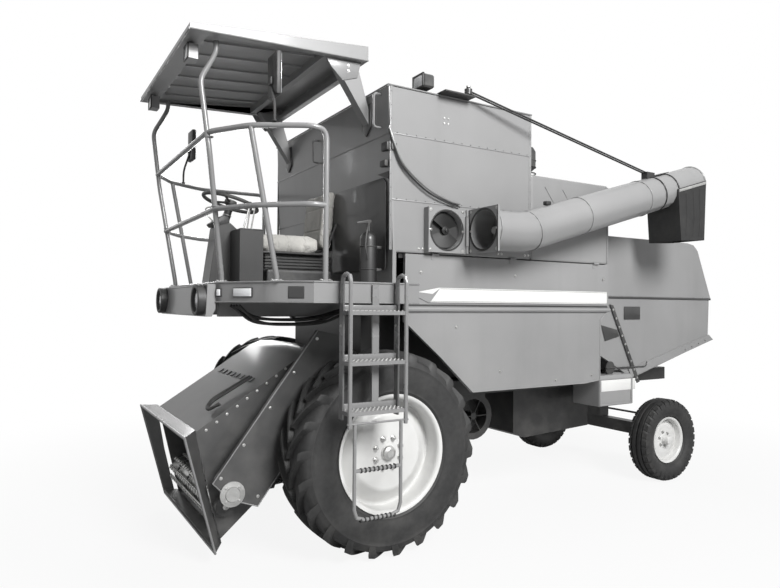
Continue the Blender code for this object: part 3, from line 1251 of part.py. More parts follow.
def feeder_house():
    """Sloping conveyor housing with trunnions, ribs on its roof and the lift brackets."""
    shell = prism(feeder_outline(), "y", -FEEDER_HALF, FEEDER_HALF)
    foot = feeder_end(-FEEDER_WALL, 0.0)[1]
    heel = Vector(along_feeder(0.0, -FEEDER_RADIUS))
    under = (Vector(FEEDER_FOOT) - heel).normalized()
    start = heel + Vector((-under.y, under.x)) * FEEDER_WALL
    way = (foot - start).normalized()
    inner = [along_feeder(0.0, FEEDER_RADIUS - FEEDER_WALL), start, foot + way * 0.1,
             along_feeder(FEEDER_LENGTH + 0.1, FEEDER_RADIUS - FEEDER_WALL)]
    shell = cut(shell, [prism(inner, "y", -FEEDER_HALF + FEEDER_WALL, FEEDER_HALF - FEEDER_WALL)])
    drum_x, drum_z = DRUM_AXIS
    x, z = FEEDER_SHAFT
    pieces = [shell]
    for _, side in SIDES:
        pieces.append(rod((drum_x, side * (FEEDER_HALF - 0.01), drum_z),
                          (drum_x, side * (FEEDER_HALF + 0.05), drum_z), DRUM_BEARING, 24))
        pieces.append(rod((x, side * (FEEDER_HALF - 0.01), z), (x, side * (SEPARATOR_HALF + 0.06), z),
                          TRUNNION_RADIUS, 24))
        eye_x, eye_z = LIFT_PIN_FEEDER
        for inset in (-0.035, 0.023):
            low, high = sorted((side * (LIFT_Y + inset), side * (LIFT_Y + inset + 0.012)))
            pieces.append(prism([(eye_x - 0.03, eye_z - 0.03), (eye_x + 0.03, eye_z - 0.03),
                                 (eye_x + 0.09, feeder_floor(eye_x + 0.09) + 0.01),
                                 (eye_x - 0.09, feeder_floor(eye_x - 0.09) + 0.01)], "y", low, high))
        pieces.append(rod((eye_x, side * (LIFT_Y - 0.03), eye_z), (eye_x, side * (LIFT_Y + 0.03), eye_z),
                          LIFT_PIN_RADIUS))
    return cut(fuse(pieces), [rod((drum_x, -1, drum_z), (drum_x, 1, drum_z), bore_radius(DRUM_SHAFT_RADIUS))])


def feeder_floor(x):
    """The height of the feeder's underside at this distance along the machine."""
    heel = along_feeder(0.0, -FEEDER_RADIUS)
    share = (x - heel[0]) / (FEEDER_FOOT[0] - heel[0])
    return heel[1] + share * (FEEDER_FOOT[1] - heel[1])


def mouth_section(x_top, z_top, x_low, z_low, half):
    return [(x_top, -half, z_top), (x_top, half, z_top), (x_low, half, z_low), (x_low, -half, z_low)]


def loft(sections):
    """A closed solid through four-cornered sections."""
    bm = bmesh.new()
    rings = [[bm.verts.new(point) for point in section] for section in sections]
    for one, other in zip(rings, rings[1:]):
        for i in range(4):
            j = (i + 1) % 4
            bm.faces.new((one[i], one[j], other[j], other[i]))
    bm.faces.new(rings[0])
    bm.faces.new(rings[-1])
    bmesh.ops.triangulate(bm, faces=bm.faces)
    return from_bmesh("loft", bm)


def feeder_mouth():
    """Flared adapter frame on the feeder's front."""
    top, foot = feeder_end(MOUTH_LAP, GAP)
    outer = loft([mouth_section(*top, *foot, FEEDER_HALF + MOUTH_LAP),
                  mouth_section(*MOUTH_TOP, *MOUTH_FOOT, MOUTH_HALF)])
    top, foot = feeder_end(-2 * MOUTH_LAP, -0.05)
    inner = loft([mouth_section(*top, *foot, FEEDER_HALF - MOUTH_LAP),
                  mouth_section(MOUTH_TOP[0] + 0.02, MOUTH_TOP[1] - 0.02, MOUTH_FOOT[0] + 0.025,
                                MOUTH_FOOT[1] + 0.04, MOUTH_HALF - MOUTH_WALL)])
    return cut(outer, [inner])


def feeder_shield():
    """Drive cover beside the feeder: a long plate and the spacer that carries it."""
    outline = [(0.376, 1.529), (1.105, 0.552), (0.989, 0.431), (0.80, 0.36), (0.142, 1.242), (0.208, 1.493)]
    spacer = prism([(0.60, 0.96), (0.72, 0.96), (0.80, 0.74), (0.68, 0.74)], "y", FEEDER_HALF + GAP,
                   DRIVE_COVER_Y + 0.01)
    plate = prism(outline, "y", DRIVE_COVER_Y, DRIVE_COVER_Y + DRIVE_COVER_THICK)
    return fuse([plate, spacer])


def feeder_drum():
    """Lower conveyor drum on its through shaft, with a guide ring for each chain."""
    x, z = DRUM_AXIS
    half = FEEDER_HALF - FEEDER_WALL - RUNNING_GAP
    reach = FEEDER_HALF + 0.065
    profile = [(0.0, -reach), (DRUM_SHAFT_RADIUS, -reach), (DRUM_SHAFT_RADIUS, -half), (DRUM_RADIUS, -half)]
    for y in DRUM_RINGS:
        crest = DRUM_RADIUS + DRUM_RING_HEIGHT
        profile += [(DRUM_RADIUS, y - DRUM_RING_HALF), (crest, y - DRUM_RING_HALF), (crest, y + DRUM_RING_HALF),
                    (DRUM_RADIUS, y + DRUM_RING_HALF)]
    profile += [(DRUM_RADIUS, half), (DRUM_SHAFT_RADIUS, half), (DRUM_SHAFT_RADIUS, reach), (0.0, reach)]
    return turned(profile, (x, 0, z), 1, 16)


def lift_parts(side):
    """Cylinder barrel and rod, each with its eye."""
    start = Vector((LIFT_PIN_FRAME[0], side * LIFT_Y, LIFT_PIN_FRAME[1]))
    end = Vector((LIFT_PIN_FEEDER[0], side * LIFT_Y, LIFT_PIN_FEEDER[1]))
    way = (end - start).normalized()
    bore = bore_radius(LIFT_PIN_RADIUS)
    across = Vector((0, 0.016, 0))
    neck = rod(start + way * 0.015, start + way * 0.09, 0.018, 12)
    barrel = fuse([rod(start - across, start + across, 0.032, 20), neck,
                   rod(start + way * 0.08, start + way * 0.485, 0.038, 20)])
    inside = rod(start + way * 0.10, start + way * 0.60, bore_radius(0.020, 16), 16)
    barrel = cut(barrel, [inside, rod(start - across * 3, start + across * 3, bore)])
    piston = fuse([rod(end - across, end + across, 0.034, 20),
                   rod(start + way * 0.11, end - way * 0.026, 0.020, 16)])
    wide = bore_radius(LIFT_PIN_RADIUS, 16, LIFT_EYE_DRIFT)
    piston = cut(piston, [rod(end - across * 3, end + across * 3, wide)])
    return barrel, piston


def build_wheels(parts):
    for name, side in SIDES:
        hub = joint_empty(f"front_wheel_{name}_axis", (0, side * FRONT_TRACK / 2, FRONT_TYRE_RADIUS))
        finish(front_rim(side), f"front_rim_{name}", rim_paint(), parts, hub)
        finish(front_tyre(side), f"front_tyre_{name}", tyre_rubber(), parts, hub)
        pin = joint_empty(f"steer_{name}_axis", (-WHEELBASE, side * KINGPIN_Y, REAR_TYRE_RADIUS))
        finish(knuckle(side), f"knuckle_{name}", dark_paint(), parts, pin)
        hub = joint_empty(f"rear_wheel_{name}_axis", (-WHEELBASE, side * REAR_TRACK / 2, REAR_TYRE_RADIUS))
        finish(rear_rim(side), f"rear_rim_{name}", rim_paint(), parts, hub)
        finish(rear_tyre(side), f"rear_tyre_{name}", tyre_rubber(), parts, hub)
    pin = joint_empty("tie_rod_axis", (-WHEELBASE - STEER_ARM, KINGPIN_Y, REAR_TYRE_RADIUS))
    finish(tie_rod(), "tie_rod", dark_paint(), parts, pin)


def build_body(parts):
    finish(separator_body(), "separator_body", dark_paint(), parts)
    finish(grain_tank(), "grain_tank", body_paint(), parts)
    finish(engine_housing(), "engine_housing", body_paint(), parts)
    finish(engine_block(), "engine_block", worn_steel(), parts)
    finish(air_cleaner(), "air_cleaner", black_plastic(), parts)
    finish(exhaust_pipe(), "exhaust_pipe", worn_steel(), parts)
    finish(hood_upper(), "hood_upper", body_paint(), parts)
    finish(hood_skirt(), "hood_skirt", body_paint(), parts)
    finish(front_axle(), "front_axle", dark_paint(), parts)
    finish(rear_axle(), "rear_axle", dark_paint(), parts)
    finish(battery_box(), "battery_box", body_paint(), parts)
    finish(fan_housing(), "fan_housing", dark_paint(), parts)
    finish(sieve_box(), "sieve_box", dark_paint(), parts)
    for name, side in SIDES:
        hinge = joint_empty(f"shield_{name}_axis", (SHIELD_REAR, side * SHIELD_HINGE_Y, DECK_TOP))
        finish(side_shield(side), f"side_shield_{name}", body_paint(), parts, hinge)


def build_station(parts):
    finish(platform(), "platform", body_paint(), parts)
    finish(front_bumper(), "front_bumper", body_paint(), parts)
    finish(seat_base(), "seat_base", black_plastic(), parts)
    finish(seat_cushion(), "seat_cushion", seat_cloth(), parts)
    finish(seat_back(), "seat_back", seat_cloth(), parts)
    finish(console(), "console", dark_paint(), parts)
    finish(steering_wheel(), "steering_wheel", black_plastic(), parts)
    finish(rails_left(), "rails_left", rail_paint(), parts)
    finish(rails_right(), "rails_right", rail_paint(), parts)
    finish(canopy(), "canopy", body_paint(), parts)
    finish(canopy_struts(), "canopy_struts", body_paint(), parts)
    finish(extinguisher(), "extinguisher", body_paint(), parts)
    finish(work_lamp(), "work_lamp", black_plastic(), parts)
    for name, side in SIDES:
        finish(mirror(side), f"mirror_{name}", black_plastic(), parts)
    finish(ladder(), "ladder", rail_paint(), parts)
    finish(ladder_strip(), "ladder_strip", rail_paint(), parts)
    hinge = joint_empty("ladder_step_axis", (LADDER_REAR, *STEP_HINGE))
    finish(ladder_step(), "ladder_step", rail_paint(), parts, hinge)


def build_auger(parts):
    finish(auger_outlet(), "auger_outlet", body_paint(), parts)
    finish(stay_bracket(), "stay_bracket", dark_paint(), parts)
    hinge = joint_empty("auger_axis", (HINGE_X, HINGE_Y, AUGER_HEIGHT))
    finish(auger_tube(), "auger_tube", body_paint(), parts, hinge)
    finish(spout_boot(), "spout_boot", tyre_rubber(), parts, hinge)
    finish(auger_stays(), "auger_stays", dark_paint(), parts, hinge)
    y = tube_middle()
    axis = joint_empty("auger_screw_axis", (HINGE_X, y, AUGER_HEIGHT))
    finish(screw((AUGER_ELBOW_X + 0.09, y, AUGER_HEIGHT), 0.15, (1, 0, 0), 1.0), "auger_screw", worn_steel(),
           parts, axis)


def build_feeder(parts):
    x, z = FEEDER_SHAFT
    shaft = joint_empty("feeder_axis", (x, 0, z))
    finish(feeder_house(), "feeder_house", body_paint(), parts, shaft)
    finish(feeder_mouth(), "feeder_mouth", body_paint(), parts, shaft)
    finish(feeder_shield(), "feeder_shield", body_paint(), parts, shaft)
    drum_x, drum_z = DRUM_AXIS
    finish(feeder_drum(), "feeder_drum", worn_steel(), parts, joint_empty("drum_axis", (drum_x, 0, drum_z)))
    frame_pin = joint_empty("lift_barrel_axis", (LIFT_PIN_FRAME[0], 0, LIFT_PIN_FRAME[1]))
    feeder_pin = joint_empty("lift_rod_axis", (LIFT_PIN_FEEDER[0], 0, LIFT_PIN_FEEDER[1]))
    for name, side in SIDES:
        barrel, piston = lift_parts(side)
        finish(barrel, f"lift_barrel_{name}", dark_paint(), parts, frame_pin)
        finish(piston, f"lift_rod_{name}", worn_steel(), parts, feeder_pin)


def centre_footprint():
    """Moves the machine so that the origin is the middle of its footprint, on the ground."""
    for obj in bpy.data.objects:
        if obj.parent is None:
            obj.location += ORIGIN_SHIFT


def main():
    clear_scene()
    parts = collection("combine_harvester")
    build_body(parts)
    build_station(parts)
    build_wheels(parts)
    build_auger(parts)
    build_feeder(parts)
    centre_footprint()


main()
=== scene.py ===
import logging
import math
from dataclasses import dataclass, field
from enum import Enum

import bmesh
import bpy
from mathutils import Matrix, Vector


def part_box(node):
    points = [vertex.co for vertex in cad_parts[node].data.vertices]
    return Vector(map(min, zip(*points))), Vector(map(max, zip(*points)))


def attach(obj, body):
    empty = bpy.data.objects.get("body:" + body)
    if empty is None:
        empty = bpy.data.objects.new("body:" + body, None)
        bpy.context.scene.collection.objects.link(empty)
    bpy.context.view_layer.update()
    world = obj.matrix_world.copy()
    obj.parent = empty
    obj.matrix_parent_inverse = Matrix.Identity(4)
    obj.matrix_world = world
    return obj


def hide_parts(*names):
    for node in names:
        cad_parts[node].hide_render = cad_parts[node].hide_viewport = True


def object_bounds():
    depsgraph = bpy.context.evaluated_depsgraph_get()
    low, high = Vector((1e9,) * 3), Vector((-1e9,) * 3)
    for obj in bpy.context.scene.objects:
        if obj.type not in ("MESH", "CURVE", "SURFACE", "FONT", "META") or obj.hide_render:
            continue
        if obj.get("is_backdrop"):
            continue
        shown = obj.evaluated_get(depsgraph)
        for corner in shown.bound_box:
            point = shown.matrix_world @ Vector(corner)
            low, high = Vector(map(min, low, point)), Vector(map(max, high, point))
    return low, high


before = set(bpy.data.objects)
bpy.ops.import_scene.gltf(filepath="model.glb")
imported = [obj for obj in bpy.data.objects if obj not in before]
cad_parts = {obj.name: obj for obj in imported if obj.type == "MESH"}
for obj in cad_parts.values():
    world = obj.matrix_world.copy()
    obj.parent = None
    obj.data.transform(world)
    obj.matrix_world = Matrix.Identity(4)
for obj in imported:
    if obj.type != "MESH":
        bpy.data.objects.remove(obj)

LOG = logging.getLogger("harvester")
AXLE = Vector((1.37, -0.08, 0.0))
WELD = 0.00002
CLOTH_FRAMES = 20
Point = tuple[float, float, float]
Pair = tuple[float, float]


class Side(Enum):
    """The two sides of the machine, with the sign of their Y."""

    LEFT = 1
    RIGHT = -1

    @property
    def word(self) -> str:
        """The side's name as the nodes and bodies spell it."""
        return self.name.lower()


class Axis(Enum):
    """The machine's axes, for plates and turned pieces."""

    X = (1.0, 0.0, 0.0)
    Y = (0.0, 1.0, 0.0)
    Z = (0.0, 0.0, 1.0)


class Shading:
    """A material's node tree, put together node by node on Object coordinates."""

    def __init__(self, name: str) -> None:
        """Starts the material with its Principled shader.

        Args:
            name: The material's name.
        """
        self.material = bpy.data.materials.new(name)
        self.material.use_nodes = True
        self.tree = self.material.node_tree
        self.shader = self.tree.nodes["Principled BSDF"]
        self.place = self.tree.nodes.new("ShaderNodeTexCoord").outputs["Object"]

    def link(self, source: bpy.types.NodeSocket, target: bpy.types.NodeSocket) -> None:
        """Joins two sockets."""
        self.tree.links.new(source, target)

    def steady(self, roughness: float, metallic: float = 0.0) -> None:
        """Sets a roughness and a metallic share that are the same all over."""
        self.shader.inputs["Roughness"].default_value = roughness
        self.shader.inputs["Metallic"].default_value = metallic

    def coat(self, weight: float, roughness: float) -> None:
        """Lays a clear coat of this strength and roughness."""
        self.shader.inputs["Coat Weight"].default_value = weight
        self.shader.inputs["Coat Roughness"].default_value = roughness

    def stretched(self, scale: Point, turn: Point = (0.0, 0.0, 0.0)) -> bpy.types.NodeSocket:
        """The coordinates scaled unequally, for brushed or streaked patterns.

        Args:
            scale: Scale along each axis.
            turn: Rotation in radians about each axis.

        Returns:
            The mapped vector.
        """
        mapping = self.tree.nodes.new("ShaderNodeMapping")
        mapping.inputs["Scale"].default_value = scale
        mapping.inputs["Rotation"].default_value = turn
        self.link(self.place, mapping.inputs["Vector"])
        return mapping.outputs["Vector"]

    def noise(self, scale: float, detail: float = 4.0,
              place: bpy.types.NodeSocket | None = None) -> bpy.types.NodeSocket:
        """Fractal noise between 0 and 1."""
        node = self.tree.nodes.new("ShaderNodeTexNoise")
        node.inputs["Scale"].default_value = scale
        node.inputs["Detail"].default_value = detail
        self.link(place or self.place, node.inputs["Vector"])
        return node.outputs["Fac"]

    def cells(self, scale: float, place: bpy.types.NodeSocket | None = None) -> bpy.types.NodeSocket:
        """Distance to the nearest of scattered points."""
        node = self.tree.nodes.new("ShaderNodeTexVoronoi")
        node.inputs["Scale"].default_value = scale
        self.link(place or self.place, node.inputs["Vector"])
        return node.outputs["Distance"]

    def wave(self, scale: float, direction: str,
             place: bpy.types.NodeSocket | None = None) -> bpy.types.NodeSocket:
        """Parallel bands along one axis."""
        node = self.tree.nodes.new("ShaderNodeTexWave")
        node.bands_direction = direction
        node.inputs["Scale"].default_value = scale
        self.link(place or self.place, node.inputs["Vector"])
        return node.outputs["Fac"]

    def fit(self, value: bpy.types.NodeSocket, low: float, high: float, start: float = 0.0,
            end: float = 1.0) -> bpy.types.NodeSocket:
        """Maps a value from low..high to start..end and clamps it there."""
        node = self.tree.nodes.new("ShaderNodeMapRange")
        for name, number in (("From Min", low), ("From Max", high), ("To Min", start), ("To Max", end)):
            node.inputs[name].default_value = number
        self.link(value, node.inputs["Value"])
        return node.outputs["Result"]

    def times(self, first: bpy.types.NodeSocket, second: bpy.types.NodeSocket | float,
              operation: str = "MULTIPLY") -> bpy.types.NodeSocket:
        """Combines two values with one math operation, a product unless another is named."""
        node = self.tree.nodes.new("ShaderNodeMath")
        node.operation = operation
        node.use_clamp = operation == "ADD"
        self.link(first, node.inputs[0])
        if isinstance(second, float):
            node.inputs[1].default_value = second
        else:
            self.link(second, node.inputs[1])
        return node.outputs["Value"]

    def height(self) -> bpy.types.NodeSocket:
        """Height above the ground, in metres."""
        node = self.tree.nodes.new("ShaderNodeSeparateXYZ")
        self.link(self.place, node.inputs["Vector"])
        return node.outputs["Z"]

    def blend(self, share: bpy.types.NodeSocket, first: bpy.types.NodeSocket | Point,
              second: bpy.types.NodeSocket | Point) -> bpy.types.NodeSocket:
        """A colour between two colours, by a share from 0 to 1."""
        node = self.tree.nodes.new("ShaderNodeMix")
        node.data_type = "RGBA"
        self.link(share, node.inputs[0])
        for socket, colour in ((node.inputs[6], first), (node.inputs[7], second)):
            if isinstance(colour, tuple):
                socket.default_value = (*colour, 1.0)
            else:
                self.link(colour, socket)
        return node.outputs[2]

    def colour(self, value: bpy.types.NodeSocket) -> None:
        """Sends a colour to the shader."""
        self.link(value, self.shader.inputs["Base Color"])

    def rough(self, value: bpy.types.NodeSocket) -> None:
        """Sends a roughness to the shader."""
        self.link(value, self.shader.inputs["Roughness"])

    def bump(self, value: bpy.types.NodeSocket, distance: float, strength: float = 1.0) -> None:
        """Bumps the surface by a height pattern of this depth in metres."""
        node = self.tree.nodes.new("ShaderNodeBump")
        node.inputs["Distance"].default_value = distance
        node.inputs["Strength"].default_value = strength
        self.link(value, node.inputs["Height"])
        self.link(node.outputs["Normal"], self.shader.inputs["Normal"])


def tinted(colour: Point, share: float) -> Point:
    """The colour made lighter or darker by a factor, kept at or below 1."""
    return tuple(min(1.0, channel * share) for channel in colour)


@dataclass(frozen=True)
class Finish:
    """A surface, which makes its material once and then hands out the same one."""

    name: str
    slot: str

    def material(self) -> bpy.types.Material:
        """The finish's material, made on first use."""
        found = bpy.data.materials.get(self.name)
        return found or self.shade(Shading(self.name))

    def shade(self, sheet: Shading) -> bpy.types.Material:
        """Fills in the node tree. Each kind of finish has its own."""
        raise NotImplementedError


@dataclass(frozen=True)
class Paint(Finish):
    """Sprayed enamel on sheet or bar, with dust, streaks, tiny chips and orange peel."""

    tint: Point = (0.24, 0.24, 0.24)
    gloss: float = 0.34
    dust: float = 0.35
    chips: float = 0.5
    dust_top: float = 1.7

    def shade(self, sheet: Shading) -> bpy.types.Material:
        """Lays dust low down and in drifts, and darkens the film a little here and there."""
        drift = sheet.noise(1.1, 3.0)
        base = sheet.blend(sheet.fit(drift, 0.3, 0.7), tinted(self.tint, 0.90), tinted(self.tint, 1.08))
        streaks = sheet.noise(5.0, 5.0, sheet.stretched((1.0, 1.0, 0.12)))
        base = sheet.blend(sheet.fit(streaks, 0.52, 0.80, 0.0, 0.30), base, tinted(self.tint, 0.72))
        low = sheet.fit(sheet.height(), self.dust_top, 0.1)
        mask = sheet.times(sheet.times(sheet.fit(sheet.noise(7.0, 8.0), 0.38, 0.72), low), self.dust)
        film = sheet.times(sheet.fit(sheet.noise(2.4, 6.0), 0.45, 0.75), self.dust * 0.22)
        mask = sheet.times(mask, film, "ADD")
        base = sheet.blend(mask, base, (0.36, 0.35, 0.33))
        specks = sheet.times(sheet.fit(sheet.noise(95.0, 2.0), 0.74, 0.78),
                             sheet.fit(sheet.noise(3.0, 2.0), 0.5, 0.6))
        base = sheet.blend(sheet.times(specks, self.chips), base, tinted(self.tint, 0.35))
        sheet.colour(base)
        sheet.rough(sheet.fit(mask, 0.0, 0.6, self.gloss, min(1.0, self.gloss + 0.38)))
        sheet.coat(0.25, 0.12)
        sheet.bump(sheet.noise(160.0, 2.0), 0.0006, 0.16)
        return sheet.material


@dataclass(frozen=True)
class Rubber(Finish):
    """Tyre and hose rubber, grey where dust sits, most of it low down."""

    tint: Point = (0.020, 0.020, 0.020)
    dust: float = 0.5
    dust_top: float = 0.9

    def shade(self, sheet: Shading) -> bpy.types.Material:
        """Dust in patches, most of it low down, an uneven tone and fine mould grain."""
        low = sheet.fit(sheet.height(), self.dust_top, 0.0, 0.35, 1.0)
        patches = sheet.fit(sheet.noise(6.0, 8.0), 0.42, 0.74)
        mask = sheet.times(sheet.times(patches, low), self.dust)
        base = sheet.blend(sheet.fit(sheet.noise(28.0, 4.0), 0.3, 0.7), tinted(self.tint, 0.75),
                           tinted(self.tint, 1.5))
        sheet.colour(sheet.blend(mask, base, (0.17, 0.165, 0.155)))
        sheet.rough(sheet.fit(mask, 0.0, 0.5, 0.62, 0.93))
        sheet.bump(sheet.noise(320.0, 3.0), 0.0008, 0.25)
        return sheet.material


@dataclass(frozen=True)
class Steel(Finish):
    """Bare or plated steel, brushed and touched with dull stain."""

    tint: Point = (0.50, 0.50, 0.49)
    gloss: float = 0.32
    stain: float = 0.5

    def shade(self, sheet: Shading) -> bpy.types.Material:
        """Fine brushing, a patchy dull stain that is not metallic, and a soft bump."""
        brushed = sheet.noise(40.0, 4.0, sheet.stretched((1.0, 14.0, 14.0)))
        base = sheet.blend(brushed, tinted(self.tint, 0.82), tinted(self.tint, 1.10))
        mask = sheet.times(sheet.fit(sheet.noise(11.0, 7.0), 0.52, 0.72), self.stain)
        sheet.colour(sheet.blend(mask, base, (0.10, 0.095, 0.09)))
        sheet.link(sheet.fit(mask, 0.0, 0.6, 0.95, 0.2), sheet.shader.inputs["Metallic"])
        sheet.rough(sheet.fit(mask, 0.0, 0.6, self.gloss, 0.8))
        sheet.bump(brushed, 0.0004, 0.2)
        return sheet.material


@dataclass(frozen=True)
class Plastic(Finish):
    """Moulded plastic with a leather-like grain."""

    tint: Point = (0.022, 0.022, 0.022)
    gloss: float = 0.5
    grain: float = 420.0

    def shade(self, sheet: Shading) -> bpy.types.Material:
        """Grain bump, thin dust and hand-worn patches."""
        dust = sheet.times(sheet.fit(sheet.noise(5.0, 6.0), 0.5, 0.78), 0.30)
        base = sheet.blend(sheet.fit(sheet.noise(30.0, 3.0), 0.35, 0.65), tinted(self.tint, 0.8),
                           tinted(self.tint, 1.3))
        sheet.colour(sheet.blend(dust, base, (0.22, 0.215, 0.205)))
        sheet.rough(sheet.fit(dust, 0.0, 0.3, self.gloss, min(1.0, self.gloss + 0.3)))
        sheet.bump(sheet.cells(self.grain), 0.0006, 0.35)
        return sheet.material


@dataclass(frozen=True)
class Cloth(Finish):
    """Woven seat cover with an uneven tone and a woven pattern."""

    tint: Point = (0.52, 0.51, 0.48)
    threads: float = 620.0

    def shade(self, sheet: Shading) -> bpy.types.Material:
        """Two crossed thread waves, broad creases and soil."""
        warp = sheet.wave(self.threads, "Y")
        weft = sheet.wave(self.threads, "X")
        weave = sheet.times(warp, weft)
        creases = sheet.noise(9.0, 5.0, sheet.stretched((1.0, 2.6, 1.4)))
        base = sheet.blend(sheet.fit(sheet.noise(4.0, 6.0), 0.35, 0.7), tinted(self.tint, 0.72),
                           tinted(self.tint, 1.1))
        sheet.colour(sheet.blend(sheet.fit(weave, 0.0, 1.0, 0.0, 0.35), base, tinted(self.tint, 0.6)))
        sheet.steady(0.88)
        sheet.shader.inputs["Sheen Weight"].default_value = 0.25
        sheet.bump(sheet.times(sheet.times(weave, 0.08), sheet.fit(creases, 0.2, 0.8, 0.0, 1.0), "ADD"),
                   0.010, 0.55)
        return sheet.material


@dataclass(frozen=True)
class Lens(Finish):
    """Moulded lamp glass over a bright bowl, with fine flutes."""

    tint: Point = (0.80, 0.81, 0.82)
    flutes: float = 60.0

    def shade(self, sheet: Shading) -> bpy.types.Material:
        """A pale, clear-coated surface with upright flutes."""
        flutes = sheet.wave(self.flutes, "Y")
        sheet.colour(sheet.blend(flutes, tinted(self.tint, 0.62), self.tint))
        sheet.steady(0.12)
        sheet.coat(1.0, 0.03)
        sheet.bump(flutes, 0.002, 0.5)
        return sheet.material


@dataclass(frozen=True)
class Silvering(Finish):
    """Mirror glass with a little dust."""

    def shade(self, sheet: Shading) -> bpy.types.Material:
        """Bright metal under a faint uneven film."""
        film = sheet.fit(sheet.noise(8.0, 5.0), 0.4, 0.8)
        sheet.colour(sheet.blend(film, (0.86, 0.87, 0.88), (0.62, 0.62, 0.61)))
        sheet.steady(0.04, 1.0)
        sheet.rough(sheet.fit(film, 0.0, 1.0, 0.03, 0.16))
        return sheet.material


class Finishes:
    """The machine's finishes, by the names a painter would use."""

    BODY = Paint("body_enamel", "body_paint", tint=(0.205, 0.205, 0.205), gloss=0.42, dust=0.14)
    # The body's grey made far darker for the feeder's sheets: painted shade for the shade the feeder sits in.
    BODY_SHADED = Paint("feeder_enamel_painted_shade", "body_paint", tint=(0.040, 0.040, 0.040), gloss=0.5,
                     dust=0.12, dust_top=1.9)
    CHASSIS = Paint("chassis_black", "dark_paint", tint=(0.008, 0.008, 0.008), gloss=0.5, dust=0.12)
    # Near-black paint for real dark plates, and painted shade in recesses, pockets, slots and under lips.
    PANEL_DARK = Paint("dark_panel_and_painted_shade", "body_paint", tint=(0.022, 0.022, 0.022), gloss=0.5, dust=0.15)
    RIM = Paint("rim_white", "rim_paint", tint=(0.56, 0.56, 0.55), gloss=0.36, dust=0.30,
                chips=0.2, dust_top=1.2)
    STRIPE = Paint("stripe_white", "rim_paint", tint=(0.58, 0.58, 0.57), gloss=0.30, dust=0.12, chips=0.1)
    TUBE = Paint("rail_enamel", "rail_paint", tint=(0.190, 0.190, 0.190), gloss=0.27, dust=0.10)
    RUBBER = Rubber("tyre_black", "tyre_rubber", tint=(0.011, 0.011, 0.011), dust=0.16)
    BOOT = Rubber("boot_black", "tyre_rubber", tint=(0.007, 0.007, 0.007), dust=0.08, dust_top=3.4)
    HOSE = Rubber("hose_black", "tyre_rubber", tint=(0.012, 0.012, 0.012), dust=0.2, dust_top=2.5)
    STEEL = Steel("worn_steel_bright", "worn_steel")
    CHROME = Steel("plated_rod", "worn_steel", tint=(0.72, 0.72, 0.72), gloss=0.14, stain=0.12)
    PLASTIC = Plastic("moulded_black", "black_plastic")
    CLOTH = Cloth("seat_cover", "seat_cloth")
    LENS = Lens("lamp_glass", "black_plastic")
    MIRROR = Silvering("mirror_glass", "black_plastic")


def placed(name: str, data: bpy.types.ID) -> bpy.types.Object:
    """A new object for this data, in the scene."""
    made = bpy.data.objects.new(name, data)
    bpy.context.scene.collection.objects.link(made)
    return made


def cuboid(low: Point, high: Point) -> bmesh.types.BMesh:
    """A plain block from its lowest to its highest corner."""
    first, last = Vector(low), Vector(high)
    shape = bmesh.new()
    bmesh.ops.create_cube(shape, size=1.0)
    bmesh.ops.scale(shape, vec=last - first, verts=shape.verts)
    bmesh.ops.translate(shape, vec=(first + last) / 2, verts=shape.verts)
    return shape


def both_halves(half: list[Pair]) -> list[Pair]:
    """A wheel's whole section from the half that ends on its middle plane."""
    return half + [(radius, -offset) for radius, offset in reversed(half[:-1])]


def span(side: Side, near: float, far: float) -> Pair:
    """The Y span between two distances from the machine's middle on one side, lower value first."""
    return tuple(sorted((side.value * near, side.value * far)))


def fan(shape: bmesh.types.BMesh, count: int) -> None:
    """Repeats what the shape holds all round the Y axis."""
    bmesh.ops.spin(shape, geom=shape.verts[:] + shape.edges[:] + shape.faces[:],
                   axis=(0, 1, 0), cent=(0, 0, 0),
                   steps=count - 1, angle=math.tau * (count - 1) / count, use_duplicate=True)


